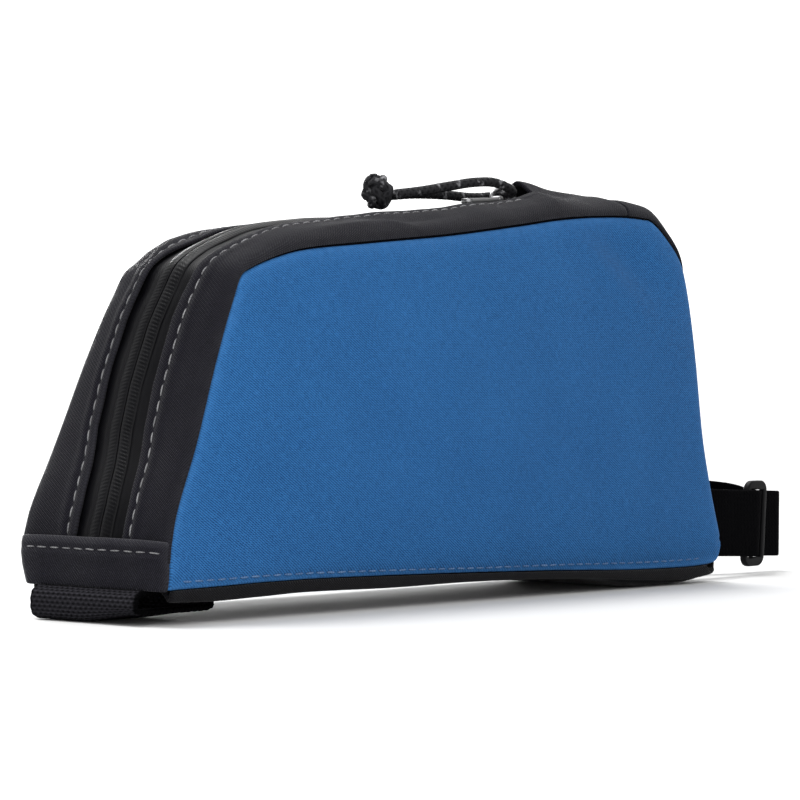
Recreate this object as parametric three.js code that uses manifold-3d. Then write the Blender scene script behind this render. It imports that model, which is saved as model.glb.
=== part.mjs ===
// Top-tube bag for a bicycle: a soft wedge with a zipper along its top,
// a webbing loop under the low end and a strap with a slider at the stem end.
// Lengths are millimetres. X runs from the low end to the stem end, Z is up,
// and the near side faces -Y. X starts at the foot of the low end.
import * as THREE from 'three';
import Module from 'manifold-3d';

const wasm = await Module();
wasm.setup();

// Cloth and gaps
const GAP = 0.3;
const SIDE_WALL = 2.0;
const GUSSET_WALL = 1.6;
const BASE_WALL = 2.0;
const STEM_WALL = 2.0;
const BAND_WALL = 1.6;
const TAPE_WALL = 0.8;

// Width of the body: widest at the base, drawn in towards the top
const HALF_WIDTH = 25.2;
const HALF_WIDTH_LEVEL = 10;
const TAPER = 0.082;
const SIDE_CROWN = 2.4;
const FOOT_TUCK = 1.2;
const FOOT_TUCK_LEVEL = 15;

// Zipper slot between the two halves of the gusset
const SLOT_HALF = 8.2;

// Seam around the side panel, in four runs, clockwise from the foot of the low end.
// rise: how far the cloth that joins on stands out from the seam.
const LOW_RUN = [
  { x: 1.3, z: 8.8, rise: 0.9 },
  { x: 1.0, z: 15.0, rise: 1.2 },
  { x: 2.8, z: 22.4, rise: 1.4 },
  { x: 12.0, z: 42.0, rise: 2.2 },
  { x: 20.5, z: 63.0, rise: 2.9 },
  { x: 27.2, z: 76.5, rise: 2.9 },
  { x: 31.8, z: 82.9, rise: 2.3 },
];
const TOP_RUN = [
  { x: 31.8, z: 82.9, rise: 2.3 },
  { x: 36.5, z: 84.7, rise: 3.1 },
  { x: 44.5, z: 87.2, rise: 4.3 },
  { x: 55.3, z: 89.5, rise: 5.0 },
  { x: 80.0, z: 91.9, rise: 5.6 },
  { x: 113.8, z: 94.9, rise: 6.2 },
  { x: 143.0, z: 98.2, rise: 6.5 },
  { x: 167.0, z: 101.0, rise: 6.2 },
  { x: 180.0, z: 101.9, rise: 5.0 },
  { x: 193.0, z: 102.3, rise: 4.3 },
  { x: 204.0, z: 101.9, rise: 3.9 },
];
const STEM_RUN = [
  { x: 204.0, z: 101.9, rise: 3.9 },
  { x: 214.0, z: 97.3, rise: 3.3 },
  { x: 220.4, z: 88.0, rise: 2.9 },
  { x: 222.3, z: 65.0, rise: 2.6 },
  { x: 223.6, z: 42.0, rise: 2.6 },
  { x: 226.1, z: 28.0, rise: 2.4 },
  { x: 229.8, z: 11.0, rise: 2.2 },
];
// lip: drop of the edge that shows below the panel; mid: drop of the middle of the base
const BASE_RUN = [
  { x: 229.8, z: 11.0, lip: 1.7, mid: 2.2 },
  { x: 228.8, z: 7.4, lip: 2.7, mid: 4.0 },
  { x: 222.0, z: 5.7, lip: 3.2, mid: 5.55 },
  { x: 197.6, z: 5.8, lip: 3.2, mid: 5.65 },
  { x: 163.0, z: 6.4, lip: 3.1, mid: 4.4 },
  { x: 127.0, z: 7.5, lip: 3.0, mid: 3.7 },
  { x: 84.0, z: 8.7, lip: 3.3, mid: 3.7 },
  { x: 49.0, z: 9.4, lip: 3.6, mid: 3.8 },
  { x: 28.5, z: 9.0, lip: 3.4, mid: 3.0 },
  { x: 21.0, z: 8.8, lip: 3.3, mid: -0.1 },
  { x: 2.6, z: 8.7, lip: 2.4, mid: -0.2 },
];
const LOW_STEPS = 2;
const TOP_STEPS = 3;
const BAND_TOP_ROW = 2;
const HOOD_ROW = 7;

// Sections across the strips. across runs from the seam (1) to the slot or the middle (0).
const GUSSET_SECTION = [
  { across: 1.0, rise: 0.0 },
  { across: 0.97, rise: 0.22 },
  { across: 0.89, rise: 0.47 },
  { across: 0.77, rise: 0.68 },
  { across: 0.61, rise: 0.85 },
  { across: 0.38, rise: 0.98 },
  { across: 0.0, rise: 1.0 },
];
const STEM_SECTION = [
  { across: 1.0, rise: 0.0 },
  { across: 0.985, rise: 0.26 },
  { across: 0.94, rise: 0.55 },
  { across: 0.85, rise: 0.8 },
  { across: 0.68, rise: 0.96 },
  { across: 0.5, rise: 1.0 },
];
const BASE_SECTION = [
  { across: 1.0, lip: 0.0, mid: 0.0 },
  { across: 0.997, lip: 0.45, mid: 0.0 },
  { across: 0.985, lip: 0.85, mid: 0.0 },
  { across: 0.955, lip: 1.0, mid: 0.0 },
  { across: 0.88, lip: 0.4, mid: 0.6 },
  { across: 0.79, lip: 0.0, mid: 1.0 },
];
// Offsets of the zipper from the gusset crest: flush on the low end, sunk along the top
const ZIPPER_DEPTH = [
  { x: 0, depth: 0.7 },
  { x: 34, depth: 0.8 },
  { x: 80, depth: 1.8 },
  { x: 140, depth: 3.2 },
  { x: 175, depth: 4.9 },
];
const ZIPPER_SECTION = [
  { y: -7.9, height: 0.0 },
  { y: -3.5, height: 0.0 },
  { y: -2.9, height: 0.6 },
  { y: -0.6, height: 0.6 },
  { y: 0.0, height: 0.25 },
  { y: 0.6, height: 0.6 },
  { y: 2.9, height: 0.6 },
  { y: 3.5, height: 0.0 },
  { y: 7.9, height: 0.0 },
];
// Hood: the closed end of the gusset, arched over the end of the zipper
const HOOD_HALF = 7.0;
const HOOD_LIFT = [
  { x: 160, lift: 3.7 },
  { x: 167, lift: 3.7 },
  { x: 173, lift: 2.6 },
  { x: 180, lift: 0.8 },
  { x: 188, lift: 0.0 },
];

// Webbing loop under the low end
const LOOP_HALF = 17;
const LOOP_MIDDLE = -1.2;
const LOOP_WALL = 1.7;
const LOOP_LEFT = -4.5;
const LOOP_RIGHT = 23.5;
const LOOP_HEIGHT = 8.4;

// Strap and slider at the stem end
const STRAP_WIDTH = 19.5;
const STRAP_WALL = 1.2;
const SLIDER_X = 273.5;
const SLIDER_Y = -8.6;
const SLIDER_Z = 14.7;
const SLIDER_LENGTH = 13;
const SLIDER_HEIGHT = 25.2;
const SLIDER_THICK = 2.8;
const SLIDER_BAR = 1.8;
const SLIDER_TAB = 2.4;
const SLIDER_CENTRE_BAR = 1.4;
const STRAP_DROOP = 0.04;
// Middle line of the strap seen from above: out along the near side, through the slider, back behind it
const STRAP_LINE = [
  { x: 232, y: -10.0 },
  { x: 240, y: -11.2 },
  { x: 250, y: -10.4 },
  { x: 260, y: -7.6 },
  { x: 267.4, y: -6.3 },
  { x: 269.3, y: -6.4 },
  { x: 271.3, y: -8.4 },
  { x: 272.1, y: -9.45 },
  { x: 273.5, y: -9.6 },
  { x: 274.9, y: -9.45 },
  { x: 275.7, y: -8.4 },
  { x: 277.7, y: -6.4 },
  { x: 279.6, y: -6.3 },
  { x: 286.4, y: -6.35 },
  { x: 287.9, y: -6.1 },
  { x: 288.5, y: -5.35 },
  { x: 287.9, y: -4.6 },
  { x: 286.4, y: -4.3 },
  { x: 280.0, y: -4.2 },
  { x: 268.0, y: -3.6 },
  { x: 258.0, y: 0.2 },
  { x: 246.0, y: 6.6 },
  { x: 238.0, y: 9.4 },
  { x: 232, y: 10.0 },
];

// Pull: a doubled cord through the bail of the zipper slider, tied at its end
const CORD_DIAMETER = 2.6;
const CORD_SIDES = 8;
const CORD_STEPS = 26;
const CORD_LINE = [
  { x: 111.8, y: -1.8, z: 105.4 },
  { x: 122, y: -2.0, z: 106.2 },
  { x: 134, y: -2.2, z: 107.9 },
  { x: 144, y: -2.6, z: 109.3 },
  { x: 152, y: -3.0, z: 109.8 },
  { x: 158.5, y: -3.0, z: 108.9 },
  { x: 161.9, y: -1.8, z: 107.9 },
  { x: 162.8, y: 0.0, z: 107.4 },
  { x: 161.9, y: 1.8, z: 107.2 },
  { x: 158.5, y: 3.0, z: 106.7 },
  { x: 150, y: 2.9, z: 106.1 },
  { x: 138, y: 2.5, z: 106.3 },
  { x: 124, y: 2.1, z: 106.0 },
  { x: 111.8, y: 1.8, z: 105.0 },
];
const KNOT_CENTRE = { x: 106.4, y: 0, z: 105.7 };
const KNOT_HALF = { x: 5.4, y: 4.6, z: 4.6 };

// Zipper slider
const PULL_X = 160.5;
const PULL_LENGTH = 11;
const PULL_WIDTH = 8;
const PULL_BODY = 1.7;
const BAIL_THICK = 1.2;
const BAIL_LEG = 1.1;
const BAIL_WINDOW = 4.2;
const BAIL_CLEAR = 3.9;
const BAIL_FRONT = -0.4;

const COLOURS = { blue: 0x30629a, cloth: 0x2a292d, tape: 0x242327, webbing: 0x222126, plastic: 0x18181a, cord: 0x2c2c2e };

function halfWidth(z) {
  const tuck = FOOT_TUCK * Math.min(Math.max((FOOT_TUCK_LEVEL - z) / 8, 0), 1) ** 2;
  return HALF_WIDTH - TAPER * (z - HALF_WIDTH_LEVEL) - tuck;
}

function lookUp(rows, x, column) {
  const last = rows.length - 1;
  if (x <= rows[0].x) return rows[0][column];
  if (x >= rows[last].x) return rows[last][column];
  const i = rows.findIndex((row) => row.x > x) - 1;
  const share = (x - rows[i].x) / (rows[i + 1].x - rows[i].x);
  return rows[i][column] + share * (rows[i + 1][column] - rows[i][column]);
}

// Smooth curve through rows, with the same number of steps between each pair
function smooth(rows, steps, columns, flat) {
  const span = (a, b) => Math.hypot(...flat.map((key) => b[key] - a[key]));
  const last = rows.length - 1;
  // Slopes that never overshoot: none where a column turns, the weighted harmonic mean elsewhere
  const slope = rows.map((row, i) => {
    const before = rows[Math.max(i - 1, 0)];
    const after = rows[Math.min(i + 1, last)];
    const dBefore = span(before, row);
    const dAfter = span(row, after);
    const m = {};
    for (const key of columns) {
      const sBefore = (row[key] - before[key]) / (dBefore || 1);
      const sAfter = (after[key] - row[key]) / (dAfter || 1);
      const wBefore = 2 * dAfter + dBefore;
      const wAfter = dAfter + 2 * dBefore;
      if (i === 0) m[key] = sAfter;
      else if (i === last) m[key] = sBefore;
      else if (sBefore * sAfter <= 0) m[key] = 0;
      else m[key] = (wBefore + wAfter) / (wBefore / sBefore + wAfter / sAfter);
    }
    return m;
  });
  const out = [];
  for (let i = 0; i < last; i++) {
    const d = span(rows[i], rows[i + 1]);
    for (let k = 0; k < steps; k++) {
      const t = k / steps;
      const h00 = 2 * t ** 3 - 3 * t ** 2 + 1;
      const h10 = t ** 3 - 2 * t ** 2 + t;
      const h01 = -2 * t ** 3 + 3 * t ** 2;
      const h11 = t ** 3 - t ** 2;
      const point = {};
      for (const key of columns) {
        point[key] = h00 * rows[i][key] + h10 * d * slope[i][key]
          + h01 * rows[i + 1][key] + h11 * d * slope[i + 1][key];
      }
      out.push(point);
    }
  }
  out.push({ ...rows[last] });
  return out;
}

// Outward normals of a clockwise run in the XZ plane
function withNormals(points) {
  const last = points.length - 1;
  return points.map((p, i) => {
    const a = points[Math.max(i - 1, 0)];
    const b = points[Math.min(i + 1, last)];
    const d = Math.hypot(b.x - a.x, b.z - a.z);
    return { ...p, nx: -(b.z - a.z) / d, nz: (b.x - a.x) / d };
  });
}

// Pull both ends of a run in by a small length
function trimmed(points, startCut, endCut) {
  const out = points.map((p) => ({ ...p }));
  const cut = (p, q, length) => {
    const share = length / Math.hypot(q.x - p.x, q.z - p.z);
    for (const key of Object.keys(p)) p[key] += share * (q[key] - p[key]);
  };
  cut(out[0], points[1], startCut);
  cut(out[out.length - 1], points[points.length - 2], endCut);
  return out;
}

const v3 = (x, y, z) => new THREE.Vector3(x, y, z);

// Closed mesh from a list of corners and triangles, turned to face outwards
function closedMesh(name, corners, triangles, colour, roughness) {
  let volume = 0;
  for (const [a, b, c] of triangles) {
    volume += corners[a].dot(v3().crossVectors(corners[b], corners[c]));
  }
  const flat = [];
  for (const [a, b, c] of triangles) flat.push(...(volume > 0 ? [a, b, c] : [a, c, b]));
  const used = new Map();
  const position = [];
  const index = flat.map((i) => {
    if (!used.has(i)) {
      used.set(i, position.length / 3);
      position.push(corners[i].x, corners[i].y, corners[i].z);
    }
    return used.get(i);
  });
  const geometry = new THREE.BufferGeometry();
  geometry.setAttribute('position', new THREE.Float32BufferAttribute(position, 3));
  geometry.setIndex(index);
  return namedMesh(name, geometry, colour, roughness);
}

function namedMesh(name, geometry, colour, roughness) {
  geometry.computeVertexNormals();
  const material = new THREE.MeshStandardMaterial({ color: colour, roughness, metalness: 0 });
  const mesh = new THREE.Mesh(geometry, material);
  mesh.name = name;
  return mesh;
}

// Sheet of cloth between two grids of points, cell by cell, with walls along every free edge
function sheet(name, outer, inner, keep, colour, roughness = 0.9) {
  const rows = outer.length;
  const columns = outer[0].length;
  const corners = [...outer.flat(), ...inner.flat()];
  const top = (i, j) => i * columns + j;
  const under = (i, j) => rows * columns + i * columns + j;
  const has = (i, j) => i >= 0 && j >= 0 && i < rows - 1 && j < columns - 1 && keep(i, j);
  const triangles = [];
  const quad = (a, b, c, d) => triangles.push([a, b, c], [a, c, d]);
  for (let i = 0; i < rows - 1; i++) {
    for (let j = 0; j < columns - 1; j++) {
      if (!has(i, j)) continue;
      quad(top(i, j), top(i + 1, j), top(i + 1, j + 1), top(i, j + 1));
      quad(under(i, j), under(i, j + 1), under(i + 1, j + 1), under(i + 1, j));
      if (!has(i - 1, j)) quad(top(i, j), top(i, j + 1), under(i, j + 1), under(i, j));
      if (!has(i + 1, j)) quad(top(i + 1, j + 1), top(i + 1, j), under(i + 1, j), under(i + 1, j + 1));
      if (!has(i, j - 1)) quad(top(i + 1, j), top(i, j), under(i, j), under(i + 1, j));
      if (!has(i, j + 1)) quad(top(i, j + 1), top(i + 1, j + 1), under(i + 1, j + 1), under(i, j + 1));
    }
  }
  return closedMesh(name, corners, triangles, colour, roughness);
}

const wholeSheet = () => true;

// Second grid under the first, one wall thickness in; edge columns go straight in across the bag
function under(outer, wall, straightEdges) {
  const rows = outer.length;
  const columns = outer[0].length;
  return outer.map((row, i) => row.map((p, j) => {
    const along = v3().subVectors(outer[Math.min(i + 1, rows - 1)][j], outer[Math.max(i - 1, 0)][j]);
    const across = v3().subVectors(row[Math.min(j + 1, columns - 1)], row[Math.max(j - 1, 0)]);
    const normal = v3().crossVectors(along, across).normalize();
    if (straightEdges && j === 0) normal.set(0, -1, 0);
    if (straightEdges && j === columns - 1) normal.set(0, 1, 0);
    return p.clone().addScaledVector(normal, -wall);
  }));
}

// Keep the seam allowance of a strip clear of the edge of the side panel
function clearOfPanel(inner, stations) {
  inner.forEach((row, i) => row.forEach((p) => {
    const s = stations[i];
    const off = (p.x - s.x) * s.nx + (p.z - s.z) * s.nz;
    const overPanel = Math.abs(p.y) > halfWidth(s.z) - SIDE_WALL - 2 * GAP;
    if (overPanel && off < GAP / 2) p.add(v3(s.nx * (GAP / 2 - off), 0, s.nz * (GAP / 2 - off)));
  }));
  return inner;
}

// Full section from the near seam to the far seam
function mirrored(section) {
  const near = section.map((row) => ({ ...row, side: -1 }));
  const far = section.map((row) => ({ ...row, side: 1 })).reverse();
  return [...near, ...far];
}

// The seam, run by run
const columnsRise = ['x', 'z', 'rise'];
const columnsBase = ['x', 'z', 'lip', 'mid'];
const lowSeam = smooth(LOW_RUN, LOW_STEPS, columnsRise, ['x', 'z']);
const topSeam = smooth(TOP_RUN, TOP_STEPS, columnsRise, ['x', 'z']);
const stemSeam = smooth(STEM_RUN, LOW_STEPS, columnsRise, ['x', 'z']);
const baseSeam = smooth(BASE_RUN, TOP_STEPS, columnsBase, ['x', 'z']);

// Side panels: a patch between the four runs, crowned outwards
function sidePanel(name, side) {
  const inset = (points) => withNormals(points).map((p) => ({ x: p.x - p.nx * GAP / 2, z: p.z - p.nz * GAP / 2 }));
  const low = inset(lowSeam);
  const top = inset(topSeam);
  const stem = inset(stemSeam).reverse();
  const foot = inset(baseSeam).reverse();
  const rows = low.length - 1;
  const columns = top.length - 1;
  const corner = (a, b) => ({ x: (a.x + b.x) / 2, z: (a.z + b.z) / 2 });
  const c00 = corner(low[0], foot[0]);
  const c10 = corner(low[rows], top[0]);
  const c01 = corner(stem[0], foot[columns]);
  const c11 = corner(stem[rows], top[columns]);
  const outer = [];
  const inner = [];
  for (let i = 0; i <= rows; i++) {
    outer.push([]);
    inner.push([]);
    for (let j = 0; j <= columns; j++) {
      const u = j / columns;
      const v = i / rows;
      const mix = (key) => (1 - v) * foot[j][key] + v * top[j][key] + (1 - u) * low[i][key] + u * stem[i][key]
        - ((1 - u) * (1 - v) * c00[key] + u * (1 - v) * c01[key] + (1 - u) * v * c10[key] + u * v * c11[key]);
      const x = mix('x');
      const z = mix('z');
      const crown = SIDE_CROWN * (Math.sin(Math.PI * u) * Math.sin(Math.PI * v)) ** 0.7;
      outer[i].push(v3(x, side * (halfWidth(z) + crown), z));
      inner[i].push(v3(x, side * (halfWidth(z) + crown - SIDE_WALL), z));
    }
  }
  return sheet(name, outer, inner, wholeSheet, COLOURS.blue);
}

// Gusset: two strips from the seams to the zipper slot, closed into a hood at the stem end
function topGusset() {
  const lowPart = lowSeam.slice(BAND_TOP_ROW * LOW_STEPS);
  const line = withNormals([...lowPart.slice(0, -1), ...topSeam]);
  const stations = trimmed(line, GAP / 2, GAP / 2);
  const mouth = lowPart.length - 1 + HOOD_ROW * TOP_STEPS;
  const strip = mirrored(GUSSET_SECTION);
  const half = GUSSET_SECTION.length;
  const middle = [-0.62, -0.3, 0.0, 0.3, 0.62].map((share) => ({ share }));
  const columns = [...strip.slice(0, half), ...middle, ...strip.slice(half)];
  const outer = stations.map((s) => columns.map((c) => {
    const reach = halfWidth(s.z) - SLOT_HALF;
    const y = c.side ? c.side * (SLOT_HALF + reach * c.across) : c.share * SLOT_HALF;
    const share = c.side ? c.rise : 0.98;
    const arch = Math.abs(y) < HOOD_HALF ? Math.cos(Math.PI * y / 2 / HOOD_HALF) ** 2 : 0;
    const lift = s.x > 150 ? lookUp(HOOD_LIFT, s.x, 'lift') * arch : 0;
    const off = GAP / 2 + s.rise * share + lift;
    return v3(s.x + s.nx * off, y, s.z + s.nz * off);
  }));
  const inner = clearOfPanel(under(outer, GUSSET_WALL, true), stations);
  // The slot edges of the strips go straight in, as the middle columns are not there before the hood
  for (let i = 0; i <= mouth; i++) {
    const s = stations[i];
    for (const j of [half - 1, columns.length - half]) {
      inner[i][j] = outer[i][j].clone().add(v3(-s.nx * GUSSET_WALL, 0, -s.nz * GUSSET_WALL));
    }
  }
  const keep = (i, j) => i >= mouth || j < half - 1 || j >= columns.length - half;
  return sheet('top_gusset', outer, inner, keep, COLOURS.cloth);
}

// Line of the zipper in the middle of the bag, its tape level with depth below the crest
function zipperLine() {
  const lowPart = lowSeam.slice(BAND_TOP_ROW * LOW_STEPS);
  const line = withNormals([...lowPart.slice(0, -1), ...topSeam]);
  return line.map((s) => {
    const off = GAP / 2 + s.rise * 0.96 - lookUp(ZIPPER_DEPTH, s.x, 'depth');
    return { x: s.x + s.nx * off, z: s.z + s.nz * off, nx: s.nx, nz: s.nz, seamX: s.x };
  });
}

function zipperTape() {
  const mouthX = TOP_RUN[HOOD_ROW].x;
  const line = zipperLine().filter((s) => s.seamX < mouthX + 0.01);
  const stations = trimmed(line, GAP / 2, GAP * 2);
  const outer = stations.map((s) => ZIPPER_SECTION.map((c) => v3(s.x + s.nx * c.height, c.y, s.z + s.nz * c.height)));
  const inner = stations.map((s) => ZIPPER_SECTION.map((c) => v3(s.x - s.nx * TAPE_WALL, c.y, s.z - s.nz * TAPE_WALL)));
  return sheet('zipper_tape', outer, inner, wholeSheet, COLOURS.tape, 0.5);
}

// Strips that span the bag from seam to seam
function crossStrip(name, stations, section, offset, wall) {
  const columns = mirrored(section);
  const outer = stations.map((s) => columns.map((c) => {
    const off = GAP / 2 + offset(s, c);
    return v3(s.x + s.nx * off, c.side * halfWidth(s.z) * c.across, s.z + s.nz * off);
  }));
  const inner = clearOfPanel(under(outer, wall, true), stations);
  return sheet(name, outer, inner, wholeSheet, COLOURS.cloth);
}

function endBand() {
  const line = withNormals(lowSeam.slice(0, BAND_TOP_ROW * LOW_STEPS + 2)).slice(0, -1);
  const stations = trimmed(line, 0, GAP / 2);
  return crossStrip('end_band', stations, STEM_SECTION, (s, c) => s.rise * c.rise, BAND_WALL);
}

const stemStations = trimmed(withNormals(stemSeam), GAP / 2, GAP / 2);
function stemPanel() {
  return crossStrip('stem_panel', stemStations, STEM_SECTION, (s, c) => s.rise * c.rise, STEM_WALL);
}

const baseStations = trimmed(withNormals(baseSeam), GAP / 2, 0);
function basePanel() {
  return crossStrip('base_panel', baseStations, BASE_SECTION, (s, c) => s.lip * c.lip + s.mid * c.mid, BASE_WALL);
}

// Band of webbing along a line in a plane: offset to both sides and widened across it
function offsetLine(line, distance, a, b, closed) {
  const count = line.length;
  return line.map((p, i) => {
    const before = closed ? line[(i + count - 1) % count] : line[Math.max(i - 1, 0)];
    const after = closed ? line[(i + 1) % count] : line[Math.min(i + 1, count - 1)];
    const d = Math.hypot(after[a] - before[a], after[b] - before[b]);
    return { [a]: p[a] - distance * (after[b] - before[b]) / d, [b]: p[b] + distance * (after[a] - before[a]) / d };
  });
}

function tubeLoop() {
  const radius = (LOOP_HEIGHT - LOOP_WALL) / 2;
  const middle = LOOP_HEIGHT / 2;
  const leftCentre = LOOP_LEFT + LOOP_HEIGHT / 2;
  const rightCentre = LOOP_RIGHT - LOOP_HEIGHT / 2;
  const turnSteps = 8;
  const line = [];
  for (let k = 0; k <= turnSteps; k++) {
    const angle = Math.PI / 2 + Math.PI * k / turnSteps;
    line.push({ x: leftCentre + radius * Math.cos(angle), z: middle + radius * Math.sin(angle) });
  }
  for (let k = 0; k <= turnSteps; k++) {
    const angle = -Math.PI / 2 + Math.PI * k / turnSteps;
    line.push({ x: rightCentre + radius * Math.cos(angle), z: middle + radius * Math.sin(angle) });
  }
  const shape = new THREE.Shape(offsetLine(line, -LOOP_WALL / 2, 'x', 'z', true).map((p) => new THREE.Vector2(p.x, p.z)));
  shape.holes.push(new THREE.Path(offsetLine(line, LOOP_WALL / 2, 'x', 'z', true).map((p) => new THREE.Vector2(p.x, p.z))));
  const geometry = new THREE.ExtrudeGeometry(shape, { depth: 2 * LOOP_HALF, bevelEnabled: false, steps: 1 });
  geometry.rotateX(Math.PI / 2);
  geometry.translate(0, LOOP_HALF + LOOP_MIDDLE, 0);
  return namedMesh('tube_loop', geometry, COLOURS.webbing, 0.95);
}

// Outer face of the stem end at a height, in the part where the strap ends stand
function stemFace(z) {
  const upper = stemStations.map((s) => ({ ...s, off: GAP / 2 + s.rise }));
  const lower = baseStations.slice(0, 2 * TOP_STEPS).map((s) => ({ ...s, off: GAP / 2 + s.mid }));
  const face = [...upper, ...lower].map((s) => ({ x: s.z + s.nz * s.off, face: s.x + s.nx * s.off })).reverse();
  return lookUp(face, z, 'face');
}

function stemStrap() {
  const levels = [-0.5, -0.25, 0, 0.25, 0.5].map((share) => share * STRAP_WIDTH);
  const first = offsetLine(STRAP_LINE, -STRAP_WALL / 2, 'x', 'y', false);
  const second = offsetLine(STRAP_LINE, STRAP_WALL / 2, 'x', 'y', false);
  const lastRow = STRAP_LINE.length - 1;
  const grid = (line) => line.map((p, i) => levels.map((level) => {
    const z = SLIDER_Z + level + STRAP_DROOP * (SLIDER_X - STRAP_LINE[i].x);
    const x = i === 0 || i === lastRow ? stemFace(z) + GAP : p.x;
    return v3(x, p.y, z);
  }));
  return sheet('stem_strap', grid(first), grid(second), wholeSheet, COLOURS.webbing, 0.95);
}

// Solid from a three.js geometry, for joining
function solid(geometry) {
  const position = geometry.getAttribute('position');
  const seen = new Map();
  const vertProperties = [];
  const corner = (i) => {
    const p = [position.getX(i), position.getY(i), position.getZ(i)];
    const key = p.map((value) => value.toFixed(4)).join(' ');
    if (!seen.has(key)) {
      seen.set(key, vertProperties.length / 3);
      vertProperties.push(...p);
    }
    return seen.get(key);
  };
  const count = geometry.index ? geometry.index.count : position.count;
  const triVerts = [];
  for (let i = 0; i < count; i += 3) {
    const t = [0, 1, 2].map((k) => corner(geometry.index ? geometry.index.getX(i + k) : i + k));
    if (t[0] !== t[1] && t[1] !== t[2] && t[0] !== t[2]) triVerts.push(...t);
  }
  const mesh = new wasm.Mesh({ numProp: 3, vertProperties: new Float32Array(vertProperties), triVerts: new Uint32Array(triVerts) });
  return new wasm.Manifold(mesh);
}

function fromSolid(name, body, colour, roughness) {
  const mesh = body.getMesh();
  const geometry = new THREE.BufferGeometry();
  geometry.setAttribute('position', new THREE.Float32BufferAttribute(Array.from(mesh.vertProperties), 3));
  geometry.setIndex(Array.from(mesh.triVerts));
  return namedMesh(name, geometry, colour, roughness);
}

function roundedPlate(length, height, radius, thick, bevel) {
  const shape = new THREE.Shape();
  const a = length / 2 - bevel;
  const b = height / 2 - bevel;
  shape.moveTo(-a + radius, -b);
  shape.lineTo(a - radius, -b);
  shape.quadraticCurveTo(a, -b, a, -b + radius);
  shape.lineTo(a, b - radius);
  shape.quadraticCurveTo(a, b, a - radius, b);
  shape.lineTo(-a + radius, b);
  shape.quadraticCurveTo(-a, b, -a, b - radius);
  shape.lineTo(-a, -b + radius);
  shape.quadraticCurveTo(-a, -b, -a + radius, -b);
  const settings = { depth: thick - 2 * bevel, bevelEnabled: true, bevelThickness: bevel, bevelSize: bevel,
    bevelSegments: 1, curveSegments: 3, steps: 1 };
  const geometry = new THREE.ExtrudeGeometry(shape, settings);
  geometry.translate(0, 0, -(thick - 2 * bevel) / 2);
  return geometry;
}

function strapSlider() {
  const frame = solid(roundedPlate(SLIDER_LENGTH, SLIDER_HEIGHT, 2, SLIDER_THICK, 0.5));
  const windowHeight = SLIDER_HEIGHT - 2 * SLIDER_TAB;
  const opening = solid(new THREE.BoxGeometry(SLIDER_LENGTH - 2 * SLIDER_BAR, windowHeight, 2 * SLIDER_THICK));
  const bar = new THREE.BoxGeometry(SLIDER_CENTRE_BAR, windowHeight + 0.4, SLIDER_THICK / 2);
  bar.translate(0, 0, -SLIDER_THICK / 4);
  const body = frame.subtract(opening).add(solid(bar));
  const mesh = fromSolid('strap_slider', body, COLOURS.plastic, 0.45);
  mesh.geometry.rotateX(Math.PI / 2);
  mesh.geometry.translate(SLIDER_X, SLIDER_Y, SLIDER_Z);
  return mesh;
}

// Zipper slider: a low body astride the coil and a bail over it, both set on the slope of the zipper
function zipperSlider() {
  const line = zipperLine();
  const i = line.findIndex((s) => s.x > PULL_X) - 1;
  const share = (PULL_X - line[i].x) / (line[i + 1].x - line[i].x);
  const level = line[i].z + share * (line[i + 1].z - line[i].z);
  const slope = Math.atan2(line[i + 1].z - line[i].z, line[i + 1].x - line[i].x);
  const seat = 0.6 + GAP;
  const body = roundedPlate(PULL_LENGTH, PULL_WIDTH, 2.4, PULL_BODY, 0.35);
  body.translate(0, 0, seat + PULL_BODY / 2);
  const bailLength = BAIL_WINDOW + 2 * BAIL_LEG;
  const bailHeight = BAIL_CLEAR + BAIL_LEG;
  const arch = new THREE.Shape();
  arch.moveTo(0, -0.4);
  arch.lineTo(0, bailHeight - 1);
  arch.lineTo(1, bailHeight);
  arch.lineTo(bailLength - 1, bailHeight);
  arch.lineTo(bailLength, bailHeight - 1);
  arch.lineTo(bailLength, -0.4);
  arch.lineTo(bailLength - BAIL_LEG, -0.4);
  arch.lineTo(bailLength - BAIL_LEG, BAIL_CLEAR);
  arch.lineTo(BAIL_LEG, BAIL_CLEAR);
  arch.lineTo(BAIL_LEG, -0.4);
  const bail = new THREE.ExtrudeGeometry(arch, { depth: BAIL_THICK, bevelEnabled: false, steps: 1 });
  bail.translate(0, 0, -BAIL_THICK / 2);
  bail.rotateX(Math.PI / 2);
  bail.translate(BAIL_FRONT - BAIL_LEG, 0, seat + PULL_BODY);
  const mesh = fromSolid('zipper_slider', solid(body).add(solid(bail)), COLOURS.plastic, 0.4);
  mesh.geometry.rotateY(-slope);
  mesh.geometry.translate(PULL_X, 0, level);
  return mesh;
}

function pullCord() {
  const curve = new THREE.CatmullRomCurve3(CORD_LINE.map((p) => v3(p.x, p.y, p.z)), false, 'centripetal');
  const circle = new THREE.Shape();
  for (let k = 0; k < CORD_SIDES; k++) {
    const angle = 2 * Math.PI * k / CORD_SIDES;
    const point = [CORD_DIAMETER / 2 * Math.cos(angle), CORD_DIAMETER / 2 * Math.sin(angle)];
    if (k === 0) circle.moveTo(...point);
    else circle.lineTo(...point);
  }
  circle.closePath();
  const geometry = new THREE.ExtrudeGeometry(circle, { steps: CORD_STEPS, bevelEnabled: false, extrudePath: curve });
  return namedMesh('pull_cord', geometry, COLOURS.cord, 0.9);
}

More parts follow.
